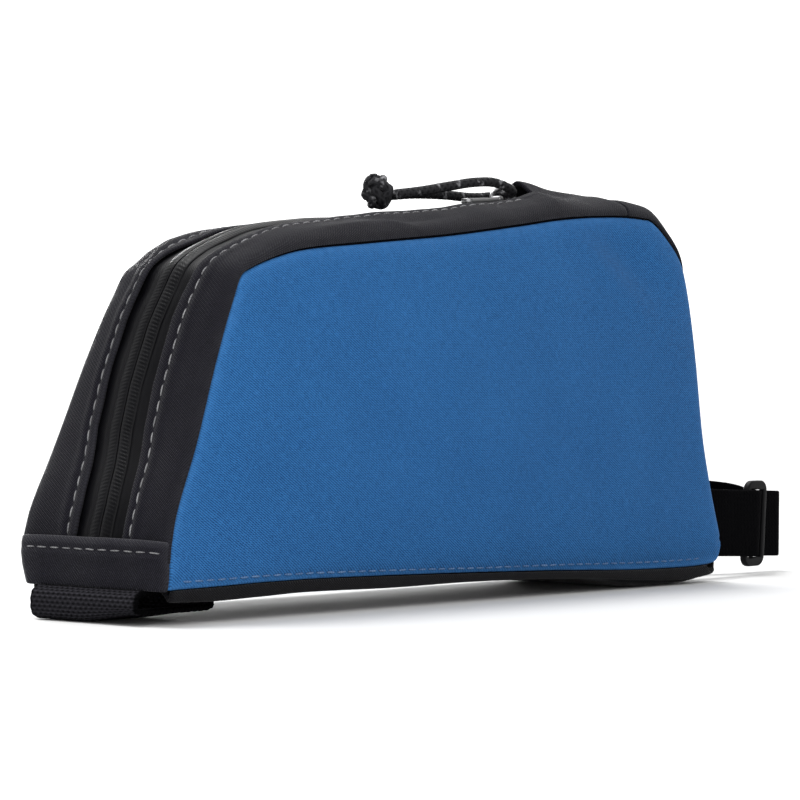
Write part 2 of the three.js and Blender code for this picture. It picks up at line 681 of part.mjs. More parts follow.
// Knot: a round body with three shallow turns of cord on it
function pullKnot() {
  const geometry = new THREE.IcosahedronGeometry(1, 3);
  const position = geometry.getAttribute('position');
  for (let i = 0; i < position.count; i++) {
    const p = v3().fromBufferAttribute(position, i);
    const turn = 1 - 0.07 * (1 + Math.cos(3 * Math.atan2(p.z, p.y) + 4 * p.x)) * (1 - p.x * p.x);
    position.setXYZ(i, KNOT_CENTRE.x + p.x * KNOT_HALF.x * turn, KNOT_CENTRE.y + p.y * KNOT_HALF.y * turn,
      KNOT_CENTRE.z + p.z * KNOT_HALF.z * turn);
  }
  return namedMesh('pull_knot', geometry, COLOURS.cord, 0.9);
}

const pieces = [
  sidePanel('side_panel_near', -1),
  sidePanel('side_panel_far', 1),
  topGusset(),
  zipperTape(),
  zipperSlider(),
  pullCord(),
  pullKnot(),
  endBand(),
  basePanel(),
  stemPanel(),
  tubeLoop(),
  stemStrap(),
  strapSlider(),
];

// Stand the bag on z = 0 with the middle of its box over the origin
const box = new THREE.Box3();
for (const piece of pieces) {
  piece.geometry.computeBoundingBox();
  box.union(piece.geometry.boundingBox);
}
const shift = v3(-(box.min.x + box.max.x) / 2, -(box.min.y + box.max.y) / 2, -box.min.z);
const group = new THREE.Group();
group.name = 'top_tube_bag';
for (const piece of pieces) {
  piece.geometry.translate(shift.x, shift.y, shift.z);
  group.add(piece);
}

export default group;
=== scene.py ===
import math

import bpy
import numpy as np
from mathutils import Matrix, Vector


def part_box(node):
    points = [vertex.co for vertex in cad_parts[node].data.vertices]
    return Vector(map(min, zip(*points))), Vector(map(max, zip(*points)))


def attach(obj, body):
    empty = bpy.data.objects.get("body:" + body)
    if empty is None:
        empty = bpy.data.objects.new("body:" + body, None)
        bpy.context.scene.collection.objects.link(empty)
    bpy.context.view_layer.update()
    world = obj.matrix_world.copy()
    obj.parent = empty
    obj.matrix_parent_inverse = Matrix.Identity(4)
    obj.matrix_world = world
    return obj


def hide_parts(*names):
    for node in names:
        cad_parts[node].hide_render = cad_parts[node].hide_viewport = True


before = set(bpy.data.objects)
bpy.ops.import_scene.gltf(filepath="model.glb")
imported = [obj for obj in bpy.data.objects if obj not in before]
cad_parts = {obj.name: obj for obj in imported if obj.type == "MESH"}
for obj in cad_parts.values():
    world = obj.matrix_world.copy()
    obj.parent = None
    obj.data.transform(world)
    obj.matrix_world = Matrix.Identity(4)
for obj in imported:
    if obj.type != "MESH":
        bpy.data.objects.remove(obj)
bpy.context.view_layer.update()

TURN = 2 * math.pi

# Seam round the side panel, clockwise from the foot of the low end: x, z, rise of the cloth that joins on
LOW_RUN = [
    (0.5, 8.5, 0.9),
    (0.8, 15.0, 1.2),
    (2.6, 22.4, 1.4),
    (12.2, 42.0, 2.2),
    (21.5, 63.0, 2.9),
    (28.4, 76.5, 3.4),
    (32.4, 82.9, 3.4),
]
TOP_RUN = [
    (36.5, 84.7, 3.9),
    (44.5, 87.2, 4.3),
    (55.3, 89.5, 5.0),
    (80.0, 91.9, 5.6),
    (113.8, 94.9, 6.2),
    (143.0, 98.2, 6.5),
    (167.0, 101.0, 6.2),
    (180.0, 101.9, 5.0),
    (193.0, 102.3, 4.9),
    (204.0, 101.9, 4.3),
]
STEM_RUN = [
    (213.2, 96.9, 2.0),
    (220.7, 88.0, 0.8),
    (224.2, 65.0, 0.5),
    (225.5, 42.0, 0.5),
    (227.7, 28.0, 0.5),
    (231.9, 10.2, 0.5),
]
# Base, from the stem end to the low end: x, z, drop of the lip, drop of the middle
BASE_RUN = [
    (231.9, 10.2, 0.2, 0.3),
    (231.3, 6.9, 1.2, 1.6),
    (228.6, 5.5, 2.4, 3.2),
    (214.5, 4.85, 2.9, 4.25),
    (192.0, 5.15, 2.4, 4.5),
    (178.0, 5.55, 1.9, 2.6),
    (165.0, 6.0, 1.6, 1.6),
    (149.0, 6.55, 1.5, 1.6),
    (115.0, 7.5, 1.8, 1.7),
    (78.4, 8.35, 2.6, 2.2),
    (49.0, 8.8, 2.6, 2.3),
    (34.0, 8.75, 2.8, 2.0),
    (21.0, 8.5, 2.8, -0.3),
    (2.5, 8.3, 2.2, -0.5),
]
# Sections across the strips: share of the way out to the seam, share of the rise
SHOULDER = [(1.0, 0.0), (0.97, 0.22), (0.89, 0.46), (0.77, 0.66)]
NEAR_SECTION = SHOULDER + [(0.61, 0.82), (0.38, 0.97), (0.22, 1.06), (0.0, 1.14)]
FAR_SECTION = SHOULDER + [(0.61, 0.8), (0.38, 0.91), (0.2, 0.96), (0.0, 1.0)]
STEM_SECTION = [(1.0, 0.0), (0.985, 0.26), (0.94, 0.55), (0.85, 0.8), (0.68, 0.96), (0.5, 1.0), (0.0, 1.0)]
LIP_SECTION = [(1.0, 0.0), (0.997, 0.45), (0.985, 0.85), (0.955, 1.0), (0.88, 0.4), (0.79, 0.0), (0.0, 0.0)]
MID_SECTION = [(1.0, 0.0), (0.955, 0.0), (0.88, 0.6), (0.79, 1.0), (0.0, 1.0)]

# Body
GAP = 0.3
SIDE_THICK = 1.4
CLOTH_THICK = 1.0
CLOTH_OUT = GAP / 2 + CLOTH_THICK / 2
HALF_WIDTH = 25.2
HALF_WIDTH_LEVEL = 10
SIDE_TAPER = 0.082
SIDE_CROWN = 2.4
CROWN_POWER = 0.7
SLOT_HALF = 8.2
SEAM_DEPTH = 2.7
BAG_MIDDLE = (110.0, 0.0, 50.0)
STITCH_PITCH = 4.0
STITCH_LENGTH = 3.0
GUSSET_STITCH_Y = 10.5
BAND_TOP_LEVEL = 18.4
BAND_STITCH = 2.3
MOUTH_X = 167.0
STEM_SEAM_X = 193.5
SEAM_DIP = 0.4
SEAM_DIP_WIDTH = 1.5

# Width of the stem panel against the bag along z, and of the base against the bag along x at the stem end
STEM_SHARE = [(6, 0.84), (20, 0.92), (86, 0.92), (96, 1.0)]
BASE_SHARE = [(225, 1.0), (229, 0.94), (231.9, 0.84)]
STEM_SEAT = [(86, -0.2), (96, CLOTH_OUT)]

# Height of the topstitch above the bottom edge of the side panels, along x
HEM_LIFT = [(0, 1.95), (60, 1.45), (120, 1.3), (165, 1.8), (228, 2.2)]

# How far both sides are tucked in at the foot: depth, and the level where it starts and how fast it grows
FOOT_TUCK = 1.2
FOOT_TUCK_TOP = 15
FOOT_TUCK_REACH = 8

# How far the far side is tucked in at the foot of the low end, along z, and where that fades out along x
FAR_TUCK = [
    (8.5, 3.7), (10, 3.3), (11.5, 2.9), (13, 2.4), (16.5, 1.9), (20, 1.4), (25, 0.9), (35, 0.5), (42, 0.0),
]
FAR_TUCK_END = 20
FAR_TUCK_FADE = 12

# How far the far strip of the gusset has sunk, along x
FAR_SINK = [
    (60, 0.0), (75, 0.3), (93, 0.9), (115, 1.6), (131, 1.9), (146, 1.9), (157, 1.5), (168, 0.6), (178, 0.0),
]

# How far the near strip has sunk beside the zipper slider, along x
NEAR_SINK = [
    (95, 0.0), (102, 0.3), (119, 0.75), (132, 0.9), (144, 1.5), (151, 1.35), (157, 0.9), (164, -0.2),
    (172, 0.5), (180, 0.7), (200, 0.0),
]

# How far the far shoulder of the gusset is drawn in at the bend, along x, and where across the bag it starts
BEND_TRIM = [
    (20, 0.0), (26, 0.6), (30, 1.8), (34, 1.2), (38, -0.7), (43, -1.7), (49, -1.3), (57, -0.5), (65, 0.0),
]
TRIM_FROM = 9
TRIM_FADE = 5

# Zipper: depth of the tape below the crest of the gusset, bulge of its middle along x, and the coil rows
ZIPPER_DEPTH = [(0, 1.35), (34, 1.2), (80, 1.7), (110, 2.6), (140, 3.6), (175, 5.2)]
ZIPPER_PAST_MOUTH = 8
TAPE_HALF = 9.4
TAPE_THICK = 0.5
TAPE_BULGE = [
    (0, 1.05), (24, 1.1), (34, 1.5), (46, 2.0), (62, 2.2), (78, 2.3), (90, 1.9), (110, 1.0), (140, 0.0),
]
COIL_MIDDLE = 1.95
COIL_HALF = 1.75
COIL_HEIGHT = 0.3
COIL_PITCH = 0.95
COIL_RELIEF = 0.06
COIL_THICK = 0.2
COIL_CLEAR = 0.02

# Sideways drift of the zipper up the low end, along z
ZIPPER_DRIFT = [
    (15, -2.4), (27, -2.2), (36, -1.0), (45, 1.1), (55, 2.0), (70, 1.9), (80, 0.5), (87, -0.5), (95, 0.0),
]

# Hood over the end of the zipper: lift of its middle along x, and where the gusset turns square
HOOD_HALF = 7.0
HOOD_LIFT = [
    (120, 0.0), (160, 3.7), (168, 3.7), (173, 3.3), (176, 2.8), (181, 1.9), (186, 1.2), (192, 0.6),
    (200, 0.0),
]
SQUARE_FROM = 188
SQUARE_FADE = 16

# Webbing loop under the low end
LOOP_HALF = 17.4
LOOP_MIDDLE = -1.6
LOOP_WALL = 1.3
LOOP_LEFT = -4.5
LOOP_RIGHT = 23.5
LOOP_HEIGHT = 8.4
LOOP_LIFT = 2.3
LOOP_COLUMNS = 64
LOOP_SINK = 0.21
LOOP_JOIN_HALF = 1.2
LOOP_SELVEDGE = 0.12
LOOP_RIB = 0.08
LOOP_RIB_PITCH = 2.1

# Strap and three-bar slider at the stem end
STRAP_WIDTH = 19.5
STRAP_WALL = 1.2
STRAP_DROOP = 0.04
STRAP_FAR_LIFT = 3.0
STRAP_LIFT_FROM = 276
STRAP_LIFT_REACH = 10
STRAP_SAG = 0.25
STRAP_SAG_END = 262
STRAP_SAG_FADE = 6
STRAP_ROOT_X = 232.0
STRAP_ROOT_REACH = 8
SLIDER_PLACE = (273.5, -8.6, 14.7)
STRAP_MIDDLE = (255.0, -1.0, SLIDER_PLACE[2])
SLIDER_LENGTH = 10.4
SLIDER_SLID = (-1.3, 0.0, 0.0)
SLIDER_LEAN = 0.065
SLIDER_HEIGHT = 25.2
SLIDER_THICK = 2.0
SLIDER_BAR = 1.8
SLIDER_TAB = 2.7
SLIDER_CENTRE_BAR = 1.4
SLIDER_BEVEL = 0.5
BAR_BEVEL = 0.3
STRAP_LINE = [
    (STRAP_ROOT_X, -10.0), (240.0, -11.2), (250.0, -11.2), (260.0, -10.9), (266.5, -10.75), (269.5, -10.7),
    (271.9, -10.4), (273.1, -9.5), (273.9, -8.3), (274.8, -7.0), (276.1, -6.4), (278.0, -6.3),
    (287.4, -6.35), (288.9, -6.1), (289.5, -5.35), (288.9, -4.6), (287.4, -4.3), (280.0, -4.2),
    (268.0, -3.6), (258.0, 0.2), (246.0, 6.6), (238.0, 9.4), (STRAP_ROOT_X, 10.0),
]

# Pull: a doubled cord from the bail of the zipper slider to its knot
CORD_DIAMETER = 2.6
CORD_LINE = [
    (111.8, -1.8, 105.4),
    (122.0, -2.0, 106.6),
    (134.0, -2.2, 108.4),
    (144.0, -2.6, 109.8),
    (152.0, -3.0, 110.1),
    (158.5, -3.0, 108.9),
    (161.9, -1.8, 107.9),
    (162.8, 0.0, 107.4),
    (161.9, 1.8, 107.2),
    (158.5, 3.0, 106.7),
    (150.0, 2.9, 106.1),
    (138.0, 2.5, 106.3),
    (124.0, 2.1, 106.0),
    (111.8, 1.8, 105.0),
]
CORD_APEX = 7
CORD_STEPS = 16
BRAID_PITCH = 2.4
KNOT_PLACE = (106.3, 0.0, 105.8)
KNOT_TURNS = 3
KNOT_BIGHTS = 5
KNOT_CORD = 2.3
KNOT_HALF = 2.5
KNOT_RADIUS = 2.75
KNOT_WEAVE = 0.45
KNOT_CORE = (-2.6, 4.6)
KNOT_CORE_DIAMETER = 3.0
KNOT_TAIL = [(-1.6, -0.4, 2.4), (-2.4, -0.7, 3.6), (-2.6, -0.8, 4.5)]
KNOT_TAIL_DIAMETER = 2.0

# Zipper slider: its body, bail and tab, about the place where it stands on the tape
PULL_X = 160.5
PULL_LENGTH = 10.2
PULL_WIDTH = 7.2
PULL_BODY = 1.9
PULL_LEVEL = 1.85
BAIL_LINE = [
    (-4.7, 2.4), (-5.2, 4.4), (-4.4, 5.8), (-2.4, 6.6), (0.2, 7.1), (2.2, 7.6), (4.1, 7.3), (5.0, 6.0),
    (4.7, 2.4),
]
BAIL_RADIUS = 0.6
TAB_LENGTH = 14.4
TAB_END = -5.0
TAB_WIDTH = 3.0
TAB_THICK = 1.4
TAB_PLACE = (TAB_END - TAB_LENGTH / 2 + 0.8, -1.2, 3.7)
RIVET_LEVEL = 4.0
RIVET = [(-0.6, 0.9), (-3.0, 0.9), (-3.3, 0.7), (-3.4, 0.3)]

# Camera of the photograph
CAMERA_PLACE = (-601.486, -578.522, 63.576)
CAMERA_LOOKS_AT = (116.351, 0.0, 51.746)
CAMERA_ROLL_DEG = 0.428
CAMERA_LENS = 158.47
CAMERA_SENSOR = 36
CAMERA_CLIP = (0.05, 100)

# Studio light
BACKDROP_WAY = (0.779, 0.627, 0.0)
BACKDROP_SPAN = (-0.3, 0.6)
BACKDROP_LEVEL = 1.5
FRONT_LEVEL = 0.22
OVERHEAD_SPAN = (0.15, 1.0)
OVERHEAD_LEVEL = 0.45
KEY_WAY = (0.0, -0.28, -0.96)
KEY_STRENGTH = 3.0
BACK_WAY = (-0.5, -0.84, -0.2)
BACK_STRENGTH = 4.4
SUN_SPREAD_DEG = 20
FILL_PLACE = (-230.0, -330.0, 250.0)
FILL_WATTS = 2.75
FILL_SIZE = 0.6
FLOOR_REACH = 30.0

slider_low, slider_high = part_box("strap_slider")
SHIFT = np.array((slider_low + slider_high) / 2) * 1000 - SLIDER_PLACE


def metres(points):
    return (np.asarray(points, float) + SHIFT) / 1000


def link(item):
    bpy.context.scene.collection.objects.link(item)
    return item


def place_camera():
    data = bpy.data.cameras.new("camera")
    data.lens = CAMERA_LENS
    data.sensor_width = CAMERA_SENSOR
    data.clip_start, data.clip_end = CAMERA_CLIP
    camera = link(bpy.data.objects.new("camera", data))
    place = Vector(metres(CAMERA_PLACE))
    away = (place - Vector(metres(CAMERA_LOOKS_AT))).normalized()
    right = Vector((0, 0, 1)).cross(away).normalized()
    up = away.cross(right)
    roll = math.radians(CAMERA_ROLL_DEG)
    tilted_right = right * math.cos(roll) + up * math.sin(roll)
    tilted_up = up * math.cos(roll) - right * math.sin(roll)
    turn = Matrix((tilted_right, tilted_up, away)).transposed().to_4x4()
    camera.matrix_world = Matrix.Translation(place) @ turn
    bpy.context.scene.camera = camera


# Curves


def clamp(value):
    return np.clip(value, 0, 1)


def bump(distance, width):
    return np.exp(-((distance / width) ** 2))


def rising(value, width):
    """Soft step from 0 to 1 where the value passes zero."""
    return 1 / (1 + np.exp(-value / width))


def stacked(*parts):
    """Arrays that broadcast together, as the last axis of one array."""
    return np.stack(np.broadcast_arrays(*parts), axis=-1)


def smooth(rows, steps):
    """Curve through rows that never overshoots them, measured along its first two columns."""
    rows = np.array(rows, float)
    gap = np.linalg.norm(np.diff(rows[:, :2], axis=0), axis=1)[:, None]
    chord = np.diff(rows, axis=0) / gap
    before = chord[:-1]
    after = chord[1:]
    turning = before * after <= 0
    weight_before = 2 * gap[1:] + gap[:-1]
    weight_after = gap[1:] + 2 * gap[:-1]
    parts = weight_before / np.where(turning, 1, before) + weight_after / np.where(turning, 1, after)
    inside = np.where(turning, 0, (weight_before + weight_after) / np.where(turning, 1, parts))
    slope = np.vstack([chord[:1], inside, chord[-1:]])
    t = np.linspace(0, 1, steps, endpoint=False)[None, :, None]
    start = rows[:-1, None] * (2 * t**3 - 3 * t**2 + 1) + (gap * slope[:-1])[:, None] * (t**3 - 2 * t**2 + t)
    end = rows[1:, None] * (3 * t**2 - 2 * t**3) + (gap * slope[1:])[:, None] * (t**3 - t**2)
    return np.vstack([(start + end).reshape(-1, rows.shape[1]), rows[-1:]])


def lengths(line):
    return np.concatenate([[0.0], np.cumsum(np.linalg.norm(np.diff(line, axis=0), axis=1))])


def at_lengths(line, along, at):
    """Columns of a line at the given lengths along it."""
    return np.column_stack([np.interp(at, along, column) for column in line.T])


def resampled(line, step, measured=2):
    """The same line at even steps of the length of its first measured columns."""
    along = lengths(line[:, :measured])
    count = max(int(round(along[-1] / step)), 1)
    return at_lengths(line, along, np.linspace(0, along[-1], count + 1))


def with_normals(line):
    """Adds the outward normal of a clockwise run in x and z as two last columns."""
    dx = np.gradient(line[:, 0])
    dz = np.gradient(line[:, 1])
    size = np.hypot(dx, dz)
    return np.column_stack([line, -dz / size, dx / size])


def section_share(section, across):
    dense = smooth(section, 10)[::-1]
    return np.interp(across, dense[:, 0], dense[:, 1])


def look_up(rows, x):
    return np.interp(x, *np.array(rows, float).T)


def half_width(z):
    tuck = FOOT_TUCK * clamp((FOOT_TUCK_TOP - z) / FOOT_TUCK_REACH) ** 2
    return HALF_WIDTH - SIDE_TAPER * (z - HALF_WIDTH_LEVEL) - tuck


def corner_tuck(x, z):
    """How far the far corner at the foot of the low end is tucked in."""
    return look_up(FAR_TUCK, z) * clamp((FAR_TUCK_END - x) / FAR_TUCK_FADE)


WAVE_COUNT = 9


def waves(x, y, size, seed):
    """Smooth seeded unevenness, mostly between -1 and 1, with features of about the given size."""
    chance = np.random.default_rng(seed)
    total = 0
    for _ in range(WAVE_COUNT):
        angle, phase = chance.uniform(0, TURN, 2)
        pitch = size * chance.uniform(1.2, 2.6)
        total = total + np.sin(TURN * (x * math.cos(angle) + y * math.sin(angle)) / pitch + phase)
    return total / (WAVE_COUNT / 2)


def uneven(x, y, seed, *swells):
    """Sum of waves, one for each depth and size, with seeds that follow on."""
    return sum(depth * waves(x, y, size, seed + k) for k, (depth, size) in enumerate(swells))


def distance_to(line, x, z):
    """Distance from each point to a line in x and z, and how far along it the nearest place is."""
    flat = np.column_stack([x.ravel(), z.ravel()])
    along = lengths(line[:, :2])
    best = np.full(len(flat), np.inf)
    place = np.zeros(len(flat))
    for i in range(len(line) - 1):
        start = line[i, :2]
        step = line[i + 1, :2] - start
        share = clamp((flat - start) @ step / (step @ step))
        away = np.linalg.norm(flat - start - share[:, None] * step, axis=1)
        nearer = away < best
        best = np.where(nearer, away, best)
        place = np.where(nearer, along[i] + share * (along[i + 1] - along[i]), place)
    return best.reshape(x.shape), place.reshape(x.shape)


RUN_STEPS = 40
SEAM = with_normals(smooth(LOW_RUN + TOP_RUN + STEM_RUN, RUN_STEPS))
LOW_END = RUN_STEPS * (len(LOW_RUN) - 1)
TOP_END = LOW_END + RUN_STEPS * len(TOP_RUN)
LOW_SEAM = SEAM[: LOW_END + 1]
TOP_SEAM = SEAM[LOW_END : TOP_END + 1]
STEM_SEAM = SEAM[TOP_END:]
CAP_END = LOW_END + int(np.argmax(SEAM[LOW_END:, 0] > STEM_SEAM_X))
GUSSET_RUN = SEAM[RUN_STEPS : CAP_END + 1]
BASE_SEAM = with_normals(smooth(BASE_RUN, RUN_STEPS))


# Meshes


def add_piece(name, points, faces, finish, node=None, uv=None, edge=None):
    """Mesh piece on the bag's body, with its finish, its cloth coordinates and a mark along its edges: the
    twills paint it paler, as wear and painted highlight, and the webbing paints it near-black as painted
    shade.
    """
    mesh = bpy.data.meshes.new(name)
    mesh.from_pydata(metres(points).tolist(), [], [list(map(int, face)) for face in faces])
    mesh.polygons.foreach_set("use_smooth", np.ones(len(mesh.polygons), bool))
    if uv is not None:
        corner = np.zeros(len(mesh.loops), np.int32)
        mesh.loops.foreach_get("vertex_index", corner)
        layer = mesh.uv_layers.new(name="cloth_mm")
        layer.data.foreach_set("uv", np.asarray(uv, np.float32)[corner].ravel())
    if edge is not None:
        wear = mesh.attributes.new("edge", "FLOAT", "POINT")
        wear.data.foreach_set("value", np.asarray(edge, np.float32))
    mesh.update()
    mesh.materials.append(finish.material)
    piece = link(bpy.data.objects.new(name, mesh))
    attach(piece, "root")
    if node:
        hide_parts(node)
    return piece


def grid_faces(rows, columns, keep):
    number = np.arange(rows * columns).reshape(rows, columns)
    faces = np.stack([number[:-1, :-1], number[1:, :-1], number[1:, 1:], number[:-1, 1:]], axis=-1)
    return faces[keep]


def face_normals(points, faces):
    first = points[faces[:, 2]] - points[faces[:, 0]]
    second = points[faces[:, 3]] - points[faces[:, 1]]
    return np.cross(first, second)


def unit(vectors):
    return vectors / np.maximum(np.linalg.norm(vectors, axis=-1, keepdims=True), 1e-12)


def grid_normals(grid, inside, keep=None):
    """Normals of a grid of points, facing away from a point inside, and its faces turned the same way."""
    rows, columns = grid.shape[:2]
    kept = np.ones((rows - 1, columns - 1), bool) if keep is None else keep
    points = grid.reshape(-1, 3)
    faces = grid_faces(rows, columns, kept)
    normals = face_normals(points, faces)
    if (normals * (points[faces].mean(1) - np.asarray(inside))).sum() < 0:
        faces = faces[:, ::-1]
        normals = -normals
    total = np.zeros_like(points)
    for corner in range(4):
        np.add.at(total, faces[:, corner], normals)
    return unit(total), faces


def displaced(grid, detail, keep=None, inside=BAG_MIDDLE):
    """Grid moved along its normals, and those normals."""
    normal = grid_normals(grid, inside, keep)[0].reshape(grid.shape)
    return grid + normal * detail[..., None], normal


def raised(stations, y, offset):
    """Grid that stands out from stations by an offset along their normals, the last two columns."""
    x, z, normal_x, normal_z = stations[:, [0, 1, -2, -1]].T[..., None]
    return stacked(x + normal_x * offset, y, z + normal_z * offset)


def grid_uv(grid):
    """Lengths along and across a grid from its middle column, so that a weave keeps its scale."""
    middle = grid.shape[1] // 2
    along = lengths(grid[:, middle])
    steps = np.linalg.norm(np.diff(grid, axis=1), axis=2)
    across = np.hstack([np.zeros((len(grid), 1)), np.cumsum(steps, axis=1)])
    return stacked(along[:, None], across - across[:, middle : middle + 1])


def cut_size(grid, faces):
    """Area of the flat cut of a cloth piece, in square metres; it is worked out and not kept."""
    area = np.linalg.norm(face_normals(grid.reshape(-1, 3), faces), axis=1).sum() / 2 / 1e6


def cloth(
    name, grid, finish, node=None, uv=None, thick=CLOTH_THICK, inside=BAG_MIDDLE, keep=None, edge=None, roll=5
):
    """Closed sheet of cloth: the grid is its outer face, and its free edges roll over to the inner face."""
    uv = grid_uv(grid) if uv is None else uv
    points = grid.reshape(-1, 3)
    normal, faces = grid_normals(grid, inside, keep)
    cut_size(grid, faces)
    total = len(points)
    sides = np.vstack([np.column_stack([faces[:, k], faces[:, (k + 1) % 4]]) for k in range(4)])
    key = sides.min(1) * total + sides.max(1)
    _, first, count = np.unique(key, return_index=True, return_counts=True)
    border = sides[first[count == 1]]
    outward = np.zeros_like(points)
    way = np.cross(points[border[:, 1]] - points[border[:, 0]], normal[border[:, 0]] + normal[border[:, 1]])
    for end in range(2):
        np.add.at(outward, border[:, end], unit(way))
    outward = unit(outward)
    rim = np.unique(border)
    place = np.full(total, -1)
    place[rim] = np.arange(len(rim))
    rings = []
    for k in range(1, roll):
        angle = math.pi * k / roll
        turned = normal[rim] * math.cos(angle) + outward[rim] * math.sin(angle)
        rings.append(points[rim] + thick / 2 * (turned - normal[rim]))

    def ring(k, corners):
        if k == 0:
            return corners
        if k == roll:
            return corners + total
        return place[corners] + 2 * total + (k - 1) * len(rim)

    walls = []
    for k in range(roll):
        near = ring(k, border)
        far = ring(k + 1, border)
        walls.append(np.column_stack([near[:, 1], near[:, 0], far[:, 0], far[:, 1]]))
    all_points = np.vstack([points, points - thick * normal, *rings])
    all_faces = np.vstack([faces, faces[:, ::-1] + total, *walls])
    source = np.concatenate([np.arange(total), np.arange(total), *[rim] * (roll - 1)])
    used = np.unique(all_faces)
    renumber = np.zeros(len(all_points), int)
    renumber[used] = np.arange(len(used))
    flat_uv = uv.reshape(-1, 2)[source][used]
    flat_edge = None if edge is None else edge.ravel()[source][used]
    return add_piece(name, all_points[used], renumber[all_faces], finish, node, flat_uv, flat_edge)


def frames_along(path):
    """Two steady side vectors along a path."""
    tangent = unit(np.gradient(path, axis=0))
    side = unit(np.cross(tangent[0], (0.0, 0.0, 1.0)))
    sides = []
    for t in tangent:
        side = unit(side - t * (side @ t))
        sides.append(side)
    return np.array(sides), np.cross(tangent, sides)


def tube_parts(path, radius, sides):
    """Points, faces and coordinates of a closed tube; radius is one number for each ring and side."""
    right, up = frames_along(path)
    angle = TURN * np.arange(sides) / sides
    ring = right[:, None] * np.cos(angle)[None, :, None] + up[:, None] * np.sin(angle)[None, :, None]
    points = (path[:, None] + ring * radius[..., None]).reshape(-1, 3)
    number = np.arange(len(points)).reshape(len(path), sides)
    after = np.roll(number, -1, axis=1)
    faces = np.stack([number[:-1], after[:-1], after[1:], number[1:]], axis=-1).reshape(-1, 4).tolist()
    faces.append(number[0, ::-1].tolist())
    faces.append(number[-1].tolist())
    round_share = np.abs(np.arange(sides) / sides - 0.5) * 2
    return points, faces, stacked(round_share, lengths(path)[:, None]).reshape(-1, 2)


def joined(parts):
    """One list of points, faces and coordinates from several."""
    faces = []
    start = 0
    for points, own_faces, _ in parts:
        faces += [[corner + start for corner in face] for face in own_faces]
        start += len(points)
    return np.vstack([part[0] for part in parts]), faces, np.vstack([part[2] for part in parts])


STITCH_SIDES = 8
STITCH_ARCH = 0.27
STITCH_SUNK = 0.11
STITCH_SKEW = 0.16


def stitches(name, line, normal, finish, width=0.38, seed=1):
    """Row of separate thread stitches along a line on the cloth, each arched and sunk at its ends."""
    chance = np.random.default_rng(seed)
    along = lengths(line)
    rings = np.linspace(0, 1, 9)
    arch = np.sin(math.pi * rings)
    parts = []
    for start in np.arange(0.4, along[-1] - STITCH_LENGTH, STITCH_PITCH):
        at = start + STITCH_LENGTH * chance.uniform(0.93, 1.04) * rings
        path = at_lengths(line, along, at)
        up = unit(at_lengths(normal, along, at))
        sideways = unit(np.cross(np.gradient(path, axis=0), up))
        skew = chance.uniform(-STITCH_SKEW, STITCH_SKEW) * (rings - 0.5)
        path = path + up * (STITCH_ARCH * arch**0.6 - STITCH_SUNK)[:, None] + sideways * skew[:, None]
        thick = width / 2 * (0.35 + 0.65 * arch**0.5) * chance.uniform(0.9, 1.08)
        parts.append(tube_parts(path, np.repeat(thick[:, None], STITCH_SIDES, axis=1), STITCH_SIDES))
    points, faces, uv = joined(parts)
    return add_piece(name, points, faces, finish, uv=uv)


# Materials


class Wave:
    """Output of a shader node, which adds and multiplies like a number."""

    def __init__(self, finish, socket):
        self.finish = finish
        self.socket = socket

    def __add__(self, other):
        return self.finish.math("ADD", self, other)

    def __mul__(self, other):
        return self.finish.math("MULTIPLY", self, other)


def fill_socket(tree, socket, value):
    source = value.socket if isinstance(value, Wave) else value
    if isinstance(source, bpy.types.NodeSocket):
        tree.links.new(source, socket)
    else:
        socket.default_value = source


def add_node(tree, kind, inputs):
    node = tree.nodes.new("ShaderNode" + kind)
    for key, value in inputs.items():
        fill_socket(tree, node.inputs[key], value)
    return node


def ranged(tree, value, span, levels):
    """Value brought smoothly from a span to a pair of levels."""
    names = ("Value", "From Min", "From Max", "To Min", "To Max")
    node = add_node(tree, "MapRange", dict(zip(names, (value, *span, *levels))))
    node.interpolation_type = "SMOOTHSTEP"
    return node.outputs[0]


class Finish:
    """A procedural material for one slot of the record, and the node recipes that the finishes share."""

    def __init__(self, name, slot, colour, roughness, specular):
        self.slot = slot
        self.material = bpy.data.materials.new(name)
        self.material.use_nodes = True
        self.tree = self.material.node_tree
        self.surface = self.tree.nodes["Principled BSDF"]
        self.set("Base Color", (*colour, 1))
        self.set("Roughness", roughness)
        self.set("Specular IOR Level", specular)

    def set(self, name, value):
        fill_socket(self.tree, self.surface.inputs[name], value)

    def made(self, kind, inputs, output=0):
        return Wave(self, add_node(self.tree, kind, inputs).outputs[output])

    def math(self, operation, first, second=0.0):
        node = add_node(self.tree, "Math", {0: first, 1: second})
        node.operation = operation
        return Wave(self, node.outputs[0])

    def sine(self, cycles):
        return self.math("SINE", cycles * TURN)

    def uv(self):
        node = add_node(self.tree, "UVMap", {})
        node.uv_map = "cloth_mm"
        split = add_node(self.tree, "SeparateXYZ", {0: node.outputs[0]})
        return Wave(self, split.outputs[0]), Wave(self, split.outputs[1])

    def edge(self):
        node = add_node(self.tree, "Attribute", {})
        node.attribute_name = "edge"
        return Wave(self, node.outputs["Fac"])

    def noise(self, scale, detail=2.0, place=None):
        """Noise at a scale in features per metre, or per unit of a given place."""
        if place is None:
            place = self.made("TexCoord", {}, "Object")
        return self.made("TexNoise", {"Vector": place, "Scale": scale, "Detail": detail}, "Fac")

    def streaks(self, u, v, along, across):
        """Noise drawn out along the yarns, around zero."""
        return self.noise(1.0, place=self.made("CombineXYZ", {0: u * along, 1: v * across})) + -0.5

    def mix(self, share, low, high):
        colours = [end if isinstance(end, Wave) else (*end, 1) for end in (low, high)]
        node = add_node(self.tree, "Mix", {0: share, 6: colours[0], 7: colours[1]})
        node.data_type = "RGBA"
        return Wave(self, node.outputs[2])

    def ramp(self, value, low, high):
        return Wave(self, ranged(self.tree, value, (low, high), (0, 1)))

    def relief(self, height, depth):
        self.set("Normal", self.made("Bump", {"Strength": 1.0, "Distance": depth, "Height": height}))


